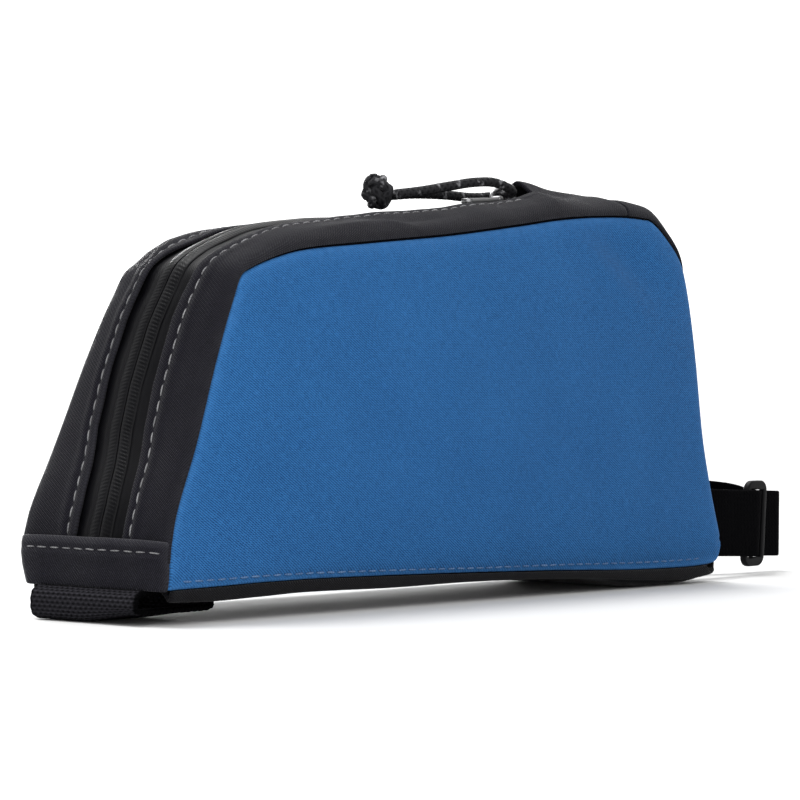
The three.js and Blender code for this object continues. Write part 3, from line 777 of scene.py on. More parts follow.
def twill(name, slot, dark, light, pale_wear_and_highlight, depth, roughness, sheen, contrast, across=0.9, along=0.58):
    """Woven cloth: fine diagonal ribs broken by the cross yarns, patchy in colour, and paler at its edges and
    folds, partly wear and partly a painted highlight.
    """
    finish = Finish(name, slot, light, roughness, 0.06)
    u, v = finish.uv()
    drift = finish.noise(90, 1) * 1.4
    ribs = finish.sine(u * (1 / across) + v * (1 / along) + drift)
    breaks = finish.sine(u * (1 / across) + v * (-0.5 / along))
    fibres = finish.noise(2600) * 0.5 + -0.25
    slubs = (finish.streaks(u, v, 2.6, 0.4) + finish.streaks(u, v, 0.4, 2.6)) * 0.5
    weave = ribs * 0.34 + ribs * breaks * 0.2 + fibres + slubs + 0.5
    patches = finish.noise(38, 3) * 0.2 + -0.1
    plain = finish.mix(weave * contrast + (0.5 - contrast / 2) + patches, dark, light)
    lint = finish.ramp(finish.noise(420, 4), 0.66, 0.8) * 0.35
    # Paler where the piece's edge mark is high: wear, plus a painted highlight on edges and folds that catch
    # the light
    fold = finish.edge() * (finish.noise(260) * 0.8 + 0.15)
    finish.set("Base Color", finish.mix(finish.math("MAXIMUM", fold, lint), plain, pale_wear_and_highlight))
    finish.set("Roughness", weave * 0.12 + (roughness - 0.06))
    finish.set("Sheen Weight", sheen)
    finish.set("Sheen Roughness", 0.35)
    finish.relief(weave, depth)
    return finish


# Near-black painted on the webbing's edges: painted shade where the loop's rim sits in its contact shadow
RIM_SHADE_COLOUR = (0.0012, 0.0012, 0.0015)


def webbing(name, slot, dark, light, roughness, depth, rib=1.05, yarn=1.7):
    """Narrow webbing: rows of weft ribs, each set half a yarn from the last, and its edges painted near-black
    as shade.
    """
    finish = Finish(name, slot, light, roughness, 0.015)
    u, v = finish.uv()
    rows = finish.sine(u * (1 / rib))
    blocks = finish.sine(v * (1 / yarn)) * finish.sine(u * (0.5 / rib))
    grain = finish.noise(1900) * 0.5 + -0.25
    weave = rows * 0.22 + blocks * 0.26 + 0.5 + grain
    # Edges painted near-black as shade
    finish.set("Base Color", finish.mix(finish.edge(), finish.mix(weave, dark, light), RIM_SHADE_COLOUR))
    finish.set("Roughness", weave * 0.15 + (roughness - 0.08))
    finish.relief(weave, depth)
    return finish


def coated(name, slot, dark, light, roughness, weave_pitch=0.7):
    """Coated zipper tape: smooth and satin, with the weave just showing through and a few scuffs."""
    finish = Finish(name, slot, light, roughness, 0.09)
    u, v = finish.uv()
    ribs = finish.sine(v * (1 / weave_pitch)) * finish.sine(u * (1 / weave_pitch))
    scuff = finish.noise(170, 4)
    finish.set("Base Color", finish.mix(scuff, dark, light))
    finish.set("Roughness", scuff * 0.22 + (roughness - 0.11))
    finish.relief(ribs * 0.3 + finish.noise(900) * 0.6, 0.00006)
    return finish


def thread(name, slot, dark, light, ply_pitch=0.8):
    """Sewing thread: two plies that show as slanting ribs, a little fuzzy and soiled."""
    finish = Finish(name, slot, light, 0.8, 0.1)
    u, v = finish.uv()
    plies = finish.sine(v * (1 / ply_pitch) + u)
    finish.set("Base Color", finish.mix(plies * 0.2 + finish.noise(230, 3), dark, light))
    finish.relief(plies, 0.00008)
    return finish


def braid(name, slot, dark, light, fleck, fleck_pitch=8.7):
    """Braided cord: diamond lattice of dark yarns with a pale tracer that comes to the surface in flecks."""
    finish = Finish(name, slot, light, 0.75, 0.12)
    u, v = finish.uv()
    left, right = [finish.sine(v * (1 / BRAID_PITCH) + u * slant) for slant in (2.0, -2.0)]
    lattice = finish.math("MAXIMUM", left, right) * 0.5 + 0.4
    tracer = finish.sine(v * (1 / fleck_pitch) + u * 0.35)
    shows = finish.ramp(tracer, 0.6, 1.0) * finish.ramp(finish.noise(620), 0.45, 0.7)
    finish.set("Base Color", finish.mix(shows * 0.85, finish.mix(lattice, dark, light), fleck))
    finish.relief(lattice + finish.noise(2200) * 0.5, 0.00016)
    return finish


def moulded(name, slot, dark, light, roughness, metallic=0.0):
    """Moulded plastic or cast metal: fine grain, and gloss and colour uneven in patches."""
    finish = Finish(name, slot, light, roughness, 0.1)
    rub = finish.noise(120, 3)
    finish.set("Base Color", finish.mix(rub, dark, light))
    finish.set("Roughness", rub * 0.2 + (roughness - 0.1))
    finish.set("Metallic", metallic)
    finish.relief(finish.noise(1500, 3), 0.00003)
    return finish


def floor_finish(dark=(0.5, 0.5, 0.5), light=(0.515, 0.515, 0.515)):
    finish = Finish("pale_floor", None, light, 0.9, 0.1)
    finish.set("Base Color", finish.mix(finish.noise(3), dark, light))
    return finish


BLUE = twill(
    "blue_twill", "blue_cloth", dark=(0.003, 0.029, 0.103), light=(0.029, 0.144, 0.365),
    pale_wear_and_highlight=(0.045, 0.165, 0.4), depth=0.0001, roughness=0.75, sheen=0.03, contrast=1.05, across=1.08, along=0.7,
)
BLACK = twill(
    "black_twill", "black_cloth", dark=(0.0008, 0.0008, 0.0014), light=(0.0098, 0.0093, 0.0145),
    pale_wear_and_highlight=(0.034, 0.034, 0.038), depth=0.00013, roughness=0.8, sheen=0.08, contrast=1.15,
)
# Lighter copy of the black cloth for the end band: painted light, as the band faces down and takes less light
BAND_LIT_BLACK = twill(
    "band_twill_lit", "black_cloth", dark=(0.0014, 0.0014, 0.0022), light=(0.0175, 0.0168, 0.024),
    pale_wear_and_highlight=(0.036, 0.036, 0.041), depth=0.00013, roughness=0.8, sheen=0.1, contrast=1.15,
)
# Darker copy of the black cloth for the base: painted shade on the lip, which faces down under the side
# panels
BASE_SHADED_BLACK = twill(
    "base_twill_shaded", "black_cloth", dark=(0.0006, 0.0006, 0.0009), light=(0.0075, 0.0073, 0.0088),
    pale_wear_and_highlight=(0.016, 0.016, 0.018), depth=0.00012, roughness=0.8, sheen=0.08, contrast=0.8,
)
TAPE = coated("coated_tape", "zipper", (0.0008, 0.0008, 0.0013), (0.0028, 0.0028, 0.0038), 0.44)
COIL = coated("coated_coil", "zipper", (0.0008, 0.0008, 0.0013), (0.003, 0.003, 0.004), 0.44)
LOOP_WEB = webbing("loop_webbing", "webbing", (0.0005, 0.0005, 0.0008), (0.032, 0.031, 0.037), 0.8, 0.0007)
STRAP_WEB = webbing(
    "strap_webbing", "webbing", (0.0003, 0.0003, 0.0005), (0.0014, 0.0014, 0.002), 0.85, 0.00012,
    rib=0.8, yarn=1.3,
)
GREY_THREAD = thread("grey_thread", "black_cloth", (0.07, 0.07, 0.074), (0.36, 0.36, 0.37))
BLUE_THREAD = thread("blue_thread", "blue_cloth", (0.02, 0.07, 0.19), (0.15, 0.25, 0.43))
CORD = braid("braided_cord", "cord", (0.003, 0.003, 0.004), (0.016, 0.016, 0.018), (0.2, 0.2, 0.21))
PLASTIC = moulded("moulded_plastic", "black_plastic", (0.0012, 0.0012, 0.0018), (0.003, 0.003, 0.0038), 0.5)
METAL = moulded("slider_metal", "slider_metal", (0.2, 0.2, 0.205), (0.32, 0.32, 0.325), 0.38, metallic=1.0)


# Side panels

PANEL_ROWS = 96
PANEL_COLUMNS = 232
PUCKER_REACH = 3.5
EDGE_TUCK = 0.75
EDGE_TUCK_REACH = 1.1
GROOVE_DEPTH = 0.3
GROOVE_WIDTH = 0.5
CALM_REACH = 9


def crowned(u, v):
    """How far a panel swells at its shares of the length and height."""
    return SIDE_CROWN * (np.sin(math.pi * u) * np.sin(math.pi * v)) ** CROWN_POWER


def side_panel(name, side, seed):
    """Blue panel: a patch between the four runs of the seam, crowned, tucked at its edges and uneven."""
    inset = GAP / 2 + SIDE_THICK / 2

    def edge_line(run, count):
        moved = run[:, :2] - inset * run[:, -2:]
        along = lengths(moved)
        return at_lengths(moved, along, np.linspace(0, along[-1], count))

    def pucker(depth, pitch, away, along):
        shift = 2 * waves(along, 0, 9, seed)
        return depth * np.exp(-away / PUCKER_REACH) * np.sin(TURN * along / pitch + shift)

    low = edge_line(LOW_SEAM, PANEL_ROWS)
    top = edge_line(TOP_SEAM, PANEL_COLUMNS)
    stem = edge_line(STEM_SEAM, PANEL_ROWS)[::-1]
    foot = edge_line(BASE_SEAM, PANEL_COLUMNS)[::-1]
    u = np.linspace(0, 1, PANEL_COLUMNS)[None, :, None]
    v = np.linspace(0, 1, PANEL_ROWS)[:, None, None]
    patch = (1 - v) * foot[None] + v * top[None]
    for share, line, end in ((1 - u, low, 0), (u, stem, -1)):
        corners = (1 - v) * (line[0] + foot[end]) / 2 + v * (line[-1] + top[end]) / 2
        patch = patch + share * (line[:, None] - corners)
    x = patch[..., 0]
    z = patch[..., 1]
    found = [distance_to(run[::8], x, z) for run in (LOW_SEAM, TOP_SEAM, STEM_SEAM, BASE_SEAM)]
    nearest = np.minimum.reduce([away for away, _ in found])
    tuck = -EDGE_TUCK * np.exp(-nearest / EDGE_TUCK_REACH)
    puckers = pucker(0.1, 3.2, *found[1]) + pucker(0.08, 3.6, *found[0])
    away_foot, along_foot = found[3]
    groove = -GROOVE_DEPTH * bump(away_foot - look_up(HEM_LIFT, x), GROOVE_WIDTH)
    groove = groove * (1 + 0.15 * np.cos(TURN * along_foot / STITCH_PITCH))
    soft = uneven(x, z, seed + 1, (0.3, 34), (0.1, 11)) + panel_crease(x, z)
    calm = 1 - bump(nearest, CALM_REACH)
    y = half_width(z) + crowned(u[..., 0], v[..., 0]) + tuck + puckers + groove + soft * calm
    y = y - (side > 0) * corner_tuck(x, z)
    # Paler towards the seams, where the panel rolls over: wear and a painted highlight on the rolled edges
    edge = clamp(1.25 * np.exp(-nearest / 1.5))
    node = name[: -len("_cloth")]
    cloth(name, stacked(x, side * y, z), BLUE, node, stacked(-side * x, z), thick=SIDE_THICK, edge=edge)


ALLOWANCE_THICK = 0.5


def seam_allowance(name, side):
    """Turned-in edge of the cloth inside one side seam, which shows as the dark bottom of the seam."""
    ring = resampled(np.vstack([SEAM[:, [0, 1, 3, 4]], BASE_SEAM[1:, [0, 1, 4, 5]]]), 1.5)
    x, z = ring.T[:2, :, None]
    y = side * (half_width(z) - SEAM_DEPTH - (side > 0) * corner_tuck(x, z))
    grid = raised(ring, y, np.linspace(-4.0, 0.6, 5)[None])
    cloth(name, grid, BLACK, thick=ALLOWANCE_THICK, roll=2)


# Soft diagonal crease below the hood, a ridge with a hollow above it
CREASE_START = np.array((166.8, 98.6))
CREASE_END = np.array((199.7, 75.6))


def panel_crease(x, z):
    way = CREASE_END - CREASE_START
    long = np.linalg.norm(way)
    way = way / long
    along = (x - CREASE_START[0]) * way[0] + (z - CREASE_START[1]) * way[1]
    above = (x - CREASE_START[0]) * -way[1] + (z - CREASE_START[1]) * way[0]
    ridge = 0.6 * bump(above, 4.5) * rising(along + 2, 3) * rising(long - along, 5)
    hollow = -2.2 * bump(above - 10, 8) * bump(along - 0.45 * long, 0.5 * long)
    return ridge + hollow


# Span of the hem stitches along x, and the rough size of the panel that gives its crown at the hem
HEM_SPAN = (4.5, 224)
HEM_SUNK = 0.3
PANEL_START = 3
PANEL_LENGTH = 224
PANEL_HEIGHT = 85


def hem_line(side):
    """Line of the topstitch a little above the bottom edge of a side panel, with its normals."""
    run = resampled(BASE_SEAM[::4], 1.0)[::-1]
    lift = look_up(HEM_LIFT, run[:, 0])
    x, z = (run[:, :2] - lift[:, None] * run[:, -2:]).T
    inner = (x > HEM_SPAN[0]) & (x < HEM_SPAN[1])
    x = x[inner]
    z = z[inner]
    crown = crowned(clamp((x - PANEL_START) / PANEL_LENGTH), lift[inner] / PANEL_HEIGHT)
    y = half_width(z) + crown - HEM_SUNK - (side > 0) * corner_tuck(x, z)
    line = np.column_stack([x, side * y, z])
    return line, np.broadcast_to((0.0, side, 0.0), line.shape)


# Gusset and hood

CLOTH_STEP = 0.8
STRIP_COLUMNS = 34
SLOT_COLUMNS = 31


def gusset_offset(stations, y):
    """How far the gusset stands out from the seam at a distance y from the middle of the bag."""
    x, z, rise = stations.T[:3, :, None]
    half = half_width(z)
    out = np.abs(y)
    across = clamp((out - SLOT_HALF) / (half - SLOT_HALF))
    near = clamp(0.5 - y / 2 / SLOT_HALF)
    soft = section_share(NEAR_SECTION, across) * near + section_share(FAR_SECTION, across) * (1 - near)
    square = section_share(STEM_SECTION, out / half)
    blend = clamp((x - SQUARE_FROM) / SQUARE_FADE)
    share = soft * (1 - blend) + square * blend
    arch = np.where(out < HOOD_HALF, np.cos(math.pi * y / 2 / HOOD_HALF) ** 2, 0)
    sink = look_up(FAR_SINK, x) * clamp(y / SLOT_HALF) + look_up(NEAR_SINK, x) * clamp(-y / SLOT_HALF)
    sink = sink + look_up(BEND_TRIM, x) * clamp((y - TRIM_FROM) / TRIM_FADE)
    return CLOTH_OUT + (rise - CLOTH_THICK / 2 - sink) * share + look_up(HOOD_LIFT, x) * arch


# Slanting crease low on the gusset: its middle, how it runs down to the seam, and where its two sides fade
CREASE_X = 97.0
CREASE_OUT = 16.2
CREASE_SLOPE = 0.28
DENT_SPAN = (103.0, 106.0)
SWELL_FROM = 80


def gusset_detail(stations, along, y):
    """Small forms of the gusset: sunk stitch lines, lifted folds by the zipper, dents and unevenness."""
    x, z = stations.T[:2, :, None]
    out = np.abs(y)
    phase = np.cos(TURN * along / STITCH_PITCH)
    on_top = clamp((x - 35) / 20)
    stitch = (0.2 * on_top - 0.34) * bump(out - GUSSET_STITCH_Y, 0.6) * (1 - 0.12 * phase)
    shoulder = 0.22 * (1 - on_top) * bump(out - GUSSET_STITCH_Y - 1.7, 1.1) * (1 + 0.15 * phase)
    fold = np.where(y < 0, 0.06, 0.25) * bump(out - 9.2, 0.9)
    sewn = (stitch + shoulder + fold) * rising(MOUTH_X - 4 - x, 1.5)
    ripples = 0.28 * waves(along, y * 1.4, 22, 31) + 0.08 * waves(along, y, 8, 32)
    beyond = rising(CREASE_OUT + CREASE_SLOPE * (x - CREASE_X) - out, 0.35)
    outside = np.maximum(DENT_SPAN[0] - x, 0) + np.maximum(x - DENT_SPAN[1], 0)
    dent = -0.95 * beyond * bump(out - 15.2, 2.6) * bump(outside, 9)
    swell = 0.65 * (1 - beyond) * bump(out - 16, 2.4) * bump(np.maximum(SWELL_FROM - x, 0), 14)
    seam_dip = -SEAM_DIP * bump(x - STEM_SEAM_X, SEAM_DIP_WIDTH)
    edge_calm = clamp((half_width(z) - out) / 3)
    return sewn + (ripples + seam_dip + np.where(y < 0, 1.0, 0.6) * (dent + swell)) * edge_calm


def top_gusset():
    """Strips on both sides of the zipper, closed into a hood past its mouth."""
    stations = resampled(GUSSET_RUN, CLOTH_STEP)
    x, z = stations.T[:2, :, None]
    along = lengths(stations[:, :2])[:, None]
    half = half_width(z)
    reach = half - SLOT_HALF
    near = -(SLOT_HALF + reach * np.linspace(1, 0, STRIP_COLUMNS))
    slot = np.linspace(-SLOT_HALF, SLOT_HALF, SLOT_COLUMNS)[1:-1]
    y = np.hstack([near, np.broadcast_to(slot, (len(stations), len(slot))), -near[:, ::-1]])
    out = np.abs(y)
    wander = 0.22 * waves(along, 7 * np.sign(y), 13, 33) * bump(out - SLOT_HALF, 1.2)
    drift = look_up(ZIPPER_DRIFT, z) * (1 - clamp((out - SLOT_HALF) / reach))
    drift = drift - corner_tuck(x, z) * clamp(y / half) ** 2
    shown_y = y + drift + np.where(x < MOUTH_X - 3, wander * np.sign(y), 0)
    grid = raised(stations, shown_y, gusset_offset(stations, y))
    mouth = int(np.argmax(stations[:, 0] > MOUTH_X))
    keep = np.ones((len(stations) - 1, y.shape[1] - 1), bool)
    keep[:mouth, STRIP_COLUMNS - 1 : y.shape[1] - STRIP_COLUMNS] = False
    uv = grid_uv(grid)
    grid, normal = displaced(grid, gusset_detail(stations, along, y), keep)
    slot_edge = np.exp(-(out - SLOT_HALF) / 0.7) * (x < MOUTH_X) * (out >= SLOT_HALF - 1e-6)
    # Paler along the zipper slot, more on the far side, and at the outer edges: wear and painted highlight
    edge = clamp(np.where(y < 0, 0.12, 0.4) * slot_edge + 0.4 * np.exp(out - half))
    cloth("top_gusset_cloth", grid, BLACK, "top_gusset", uv, keep=keep, edge=edge)
    return stations, grid, normal, y


def gusset_stitch_row(stations, grid, normal, y, side):
    """Topstitch beside the zipper, followed along the finished cloth."""
    columns = np.where(np.sign(y[0]) == side)[0]
    first = int(np.argmax(stations[:, 1] > BAND_TOP_LEVEL + 1.2))
    last = int(np.argmax(stations[:, 0] > MOUTH_X - 9))
    rows = []
    for i in range(first, last):
        order = columns[np.argsort(np.abs(y[i, columns]))]
        both = np.hstack([grid[i, order], normal[i, order]])
        rows.append([np.interp(GUSSET_STITCH_Y, np.abs(y[i, order]), column) for column in both.T])
    rows = np.array(rows)
    return rows[:, :3], unit(rows[:, 3:])


# Zipper


def zipper_line(step):
    run = resampled(GUSSET_RUN, step)
    run = run[run[:, 0] < MOUTH_X + ZIPPER_PAST_MOUTH]
    off = GAP / 2 + run[:, 2] * 0.96 - look_up(ZIPPER_DEPTH, run[:, 0])
    return np.column_stack([run[:, :2] + run[:, 3:] * off[:, None], run[:, 3:]])


def zipper_grid(line, y, height):
    """Grid on the bulged tape, at a height above it."""
    x, z = line.T[:2, :, None]
    bulge = look_up(TAPE_BULGE, x) * np.cos(math.pi * y / 2 / TAPE_HALF) ** 2
    return raised(line, y + look_up(ZIPPER_DRIFT, z), height + bulge)


def zipper():
    """Coated tape with the two rows of coil under its coating."""
    line = zipper_line(CLOTH_STEP)
    along = lengths(line[:, :2])[:, None]
    y = np.linspace(-TAPE_HALF, TAPE_HALF, 45)[None]
    seat = 0.12 * bump(np.abs(y) - 5.0, 1.0) - 0.09 * bump(np.abs(y) - 4.0, 0.5) - 0.2 * bump(y, 0.25)
    grid = zipper_grid(line, y, seat + 0.07 * waves(along, y, 9, 41))
    cloth("zipper_tape_cloth", grid, TAPE, "zipper_tape", thick=TAPE_THICK)
    fine = zipper_line(CLOTH_STEP / 4)
    fine_along = lengths(fine[:, :2])[:, None]
    share = np.linspace(-1, 1, 9)[None]
    round_top = COIL_HEIGHT * np.sqrt(clamp(1 - (0.96 * share) ** 2))
    ribs = COIL_RELIEF * np.cos(TURN * (fine_along / COIL_PITCH + 0.5 * share)) * (1 - share**2)
    for side, name in ((-1, "zipper_coil_near"), (1, "zipper_coil_far")):
        row_y = side * (COIL_MIDDLE + COIL_HALF * share)
        row = zipper_grid(fine, row_y, round_top + ribs + COIL_CLEAR)
        cloth(name, row, COIL, uv=stacked(fine_along, row_y), thick=COIL_THICK, roll=2)


# Strips that cross the bag from seam to seam


def cross_strip(stations, share, offset):
    x, z = stations.T[:2, :, None]
    return raised(stations, half_width(z) * share - corner_tuck(x, z) * clamp(share) ** 2, offset)


def even_shares(count, crowd=0.6):
    """Places from -1 to 1, closer together towards both ends."""
    t = np.linspace(-1, 1, count)
    return ((1 - crowd) * t + crowd * np.sin(math.pi * t / 2))[None]


FOLD_RISE = 1.15
FOLD_DEPTH = 4.2


def end_band():
    """Band across the foot of the low end, its top edge folded, stitched down and lying over the gusset."""
    end = int(np.searchsorted(LOW_SEAM[:, 1], BAND_TOP_LEVEL + 0.5))
    stations = resampled(LOW_SEAM[: end + 1], 0.45)
    along = lengths(stations[:, :2])[:, None]
    below_top = along[-1] - along
    share = even_shares(110)
    inward = 1 - np.abs(share)
    square = section_share(STEM_SECTION, np.abs(share))
    over = FOLD_RISE * rising(FOLD_DEPTH - below_top, 0.5) * (0.1 + 0.9 * square)
    y = half_width(stations[:, 1:2]) * share
    stitch = -0.36 * bump(below_top - BAND_STITCH, 0.55) * (1 - 0.12 * np.cos(TURN * y / STITCH_PITCH))
    puff = 0.55 * bump(below_top - 8, 4) * clamp(inward * 3) + 0.2 * bump(below_top - 1.2, 0.8)
    detail = stitch + puff + uneven(y, along, 51, (0.3, 16), (0.1, 6))
    grid = cross_strip(stations, share, CLOTH_OUT + stations[:, 2:3] * square + over)
    grid, normal = displaced(grid, detail * clamp(inward * 10))
    # Paler along the folded top edge and at both sides: painted highlight where the edges catch the light
    # from behind, with wear
    edge = clamp(0.55 * np.exp(-below_top / 0.6) + 0.6 * np.exp(-inward * 22))
    cloth("end_band_cloth", grid, BAND_LIT_BLACK, "end_band", edge=edge)
    row = int(np.argmin(np.abs(below_top[:, 0] - BAND_STITCH)))
    inner = np.abs(share[0]) < 0.965
    return grid[row, inner], normal[row, inner]


def stem_panel():
    """Panel of the tall end, from the seam across the top down to the base."""
    stations = resampled(SEAM[CAP_END + 4 :], 1.0)
    z, rise = stations.T[1:3, :, None]
    along = lengths(stations[:, :2])[:, None]
    share = even_shares(64) * look_up(STEM_SHARE, z)
    inward = 1 - np.abs(share)
    soft = section_share(STEM_SECTION, np.abs(share))
    grid = cross_strip(stations, share, look_up(STEM_SEAT, z) + (rise - CLOTH_THICK / 2) * soft)
    ends = clamp(np.minimum(along, along[-1] - along) / 5)
    ripples = uneven(half_width(z) * share, along, 61, (0.35, 24), (0.1, 8)) * ends
    detail = ripples - SEAM_DIP * bump(along, SEAM_DIP_WIDTH)
    grid, _ = displaced(grid, detail * clamp(inward * 8))
    cloth("stem_panel_cloth", grid, BLACK, "stem_panel", edge=clamp(0.5 * np.exp(-inward * 22)))


def base_panel():
    """Base with the lip that shows under the side panels."""
    stations = resampled(BASE_SEAM, 1.0)
    x, z, lip, middle = stations.T[:4, :, None]
    along = lengths(stations[:, :2])[:, None]
    share = even_shares(90, 0.75) * look_up(BASE_SHARE, x)
    out = np.abs(share)
    drop = lip * section_share(LIP_SECTION, out) + middle * section_share(MID_SECTION, out)
    calm = clamp((1 - out) * 8) * clamp((x - 30) / 20)
    ripples = uneven(half_width(z) * share, along, 71, (0.12, 20))
    grid = cross_strip(stations, share, CLOTH_OUT + drop + (ripples - 0.25) * calm)
    cloth("base_panel_cloth", grid, BASE_SHADED_BLACK, "base_panel", edge=clamp(0.35 * bump(out - 0.985, 0.02)))


# Webbing


def squarer(wave):
    """Turns the sines of a round bend into those of a bend with tighter corners."""
    return np.sign(wave) * np.abs(wave) ** 0.72


def tube_loop():
    """Webbing loop under the low end, its two ends meeting under the base."""
    radius = LOOP_HEIGHT / 2
    left = LOOP_LEFT + radius
    right = LOOP_RIGHT - radius
    join = (left + right) / 2

    def arc(middle, start):
        turn = start + math.pi * np.linspace(0, 1, 33)
        return (middle, radius) + radius * squarer(stacked(np.cos(turn), np.sin(turn)))

    start, end = [(join + way * LOOP_JOIN_HALF, LOOP_HEIGHT) for way in (-1, 1)]
    line = np.vstack([[start], arc(left, math.pi / 2), arc(right, -math.pi / 2), [end]])
    line = resampled(line, 0.45)
    along = lengths(line)[:, None]
    reach = LOOP_HALF - LOOP_WALL / 2
    y = np.linspace(LOOP_MIDDLE - reach, LOOP_MIDDLE + reach, LOOP_COLUMNS)[None]
    out = np.abs(y - LOOP_MIDDLE)
    inside = (join, LOOP_MIDDLE, radius)
    grid = stacked(line[:, :1], y, line[:, 1:])
    selvedge = LOOP_SELVEDGE * bump(out - LOOP_HALF + 1.6, 0.7)
    ribs = LOOP_RIB * np.cos(TURN * along / LOOP_RIB_PITCH)
    grid, _ = displaced(grid, selvedge + ribs - LOOP_SINK, inside=inside)
    grid[..., 2] += LOOP_LIFT * clamp((-y - 1) / 15) * clamp(1 - line[:, 1:] / radius)
    # The webbing's edges, painted near-black as shade where the loop's rim sits in its contact shadow
    rim_shade = np.broadcast_to(np.exp((out - reach) / 0.3), grid.shape[:2])
    cloth(
        "tube_loop_webbing", grid, LOOP_WEB, "tube_loop", stacked(along, y), LOOP_WALL, inside, edge=rim_shade
    )


def stem_face(z):
    """x of the outer face of the stem end at a height, where the strap ends stand."""
    runs = ((STEM_SEAM, 2), (BASE_SEAM[: 2 * RUN_STEPS], 3))
    face = np.vstack([run[:, :2] + run[:, -2:] * (GAP / 2 + run[:, [rise]]) for run, rise in runs])
    face = face[np.argsort(face[:, 1])]
    return np.interp(z, face[:, 1], face[:, 0])


def stem_strap():
    """Strap that goes round the steerer, through its slider and back."""
    line = resampled(smooth(STRAP_LINE, 12), 0.6)
    line_x = line[:, :1]
    way = unit(np.gradient(line, axis=0))
    outer = line + STRAP_WALL / 2 * np.column_stack([way[:, 1], -way[:, 0]])
    along = lengths(line)[:, None]
    reach = STRAP_WIDTH / 2 - STRAP_WALL / 2
    level = np.linspace(-reach, reach, 30)[None]
    z = SLIDER_PLACE[2] + level + STRAP_DROOP * (SLIDER_PLACE[0] - line_x)
    returning = (np.arange(len(line)) > np.argmax(line[:, 0]))[:, None]
    lift = 1 - np.exp(-np.maximum(STRAP_LIFT_FROM - line_x, 0) / STRAP_LIFT_REACH)
    z = z + returning * STRAP_FAR_LIFT * lift
    near_end = clamp((STRAP_ROOT_X + STRAP_ROOT_REACH - line_x) / STRAP_ROOT_REACH)
    lean = SLIDER_LEAN * level * bump(line_x - SLIDER_PLACE[0], 7)
    x = outer[:, :1] + near_end * (stem_face(z) + GAP + STRAP_WALL / 2 - STRAP_ROOT_X) + lean
    sag = STRAP_SAG * waves(along, level, 18, 81)
    y = outer[:, 1:] + sag * (1 - near_end) * clamp((STRAP_SAG_END - line_x) / STRAP_SAG_FADE)
    uv = stacked(along, level)
    cloth("stem_strap_webbing", stacked(x, y, z), STRAP_WEB, "stem_strap", uv, STRAP_WALL, STRAP_MIDDLE)


# Hard parts


def rounded_outline(length, height, radius, steps=6):
    """Corner-rounded rectangle about the origin, anticlockwise."""
    points = []
    for corner, start in (((1, -1), -90), ((1, 1), 0), ((-1, 1), 90), ((-1, -1), 180)):
        centre = np.array([length / 2 - radius, height / 2 - radius]) * corner
        for k in range(steps + 1):
            angle = math.radians(start + 90 * k / steps)
            points.append(centre + radius * np.array([math.cos(angle), math.sin(angle)]))
    return points


def plate(outline, holes, thick, bevel):
    """Points, faces and blank coordinates of a flat plate with rounded edges, thick along its third axis."""
    curve = bpy.data.curves.new("plate", "CURVE")
    curve.dimensions = "2D"
    curve.fill_mode = "BOTH"
    curve.extrude = thick / 2 - bevel
    curve.bevel_depth = bevel
    curve.bevel_resolution = 3
    for loop in [outline, *holes]:
        spline = curve.splines.new("POLY")
        spline.points.add(len(loop) - 1)
        for point, place in zip(spline.points, loop):
            point.co = (place[0], place[1], 0, 1)
        spline.use_cyclic_u = True
    holder = link(bpy.data.objects.new("plate", curve))
    mesh = bpy.data.meshes.new_from_object(holder.evaluated_get(bpy.context.evaluated_depsgraph_get()))
    points = np.array([vertex.co for vertex in mesh.vertices])
    faces = [list(polygon.vertices) for polygon in mesh.polygons]
    bpy.data.objects.remove(holder)
    bpy.data.curves.remove(curve)
    bpy.data.meshes.remove(mesh)
    return points, faces, np.zeros((len(points), 2))


SHARP_ANGLE_DEG = 40


def hard_piece(name, points, faces, uv, finish, node):
    """Piece whose flat faces stay flat: smooth shading only across edges below the angle."""
    piece = add_piece(name, points, faces, finish, node, uv)
    piece.data.set_sharp_from_angle(angle=math.radians(SHARP_ANGLE_DEG))


def strap_slider():
    """Three-bar slider: a frame with two windows and a set-back middle bar that the strap goes over."""
    edges = 2 * SLIDER_BEVEL
    window_length = SLIDER_LENGTH - 2 * SLIDER_BAR
    window_height = SLIDER_HEIGHT - 2 * SLIDER_TAB
    outline = rounded_outline(SLIDER_LENGTH - edges, SLIDER_HEIGHT - edges, 2.6)
    opening = rounded_outline(window_length + edges, window_height + edges, 0.8)
    bar_outline = rounded_outline(SLIDER_CENTRE_BAR - 2 * BAR_BEVEL, window_height + 0.8, BAR_BEVEL)
    bar = plate(bar_outline, [], SLIDER_THICK / 2, BAR_BEVEL)
    bar[0][:, 2] -= SLIDER_THICK / 4
    flat, faces, uv = joined([plate(outline, [opening[::-1]], SLIDER_THICK, SLIDER_BEVEL), bar])
    leaning = flat[:, 0] + SLIDER_LEAN * flat[:, 1]
    turned = np.column_stack([leaning, -flat[:, 2], flat[:, 1]]) + SLIDER_PLACE + SLIDER_SLID
    hard_piece("strap_slider_frame", turned, faces, uv, PLASTIC, "strap_slider")


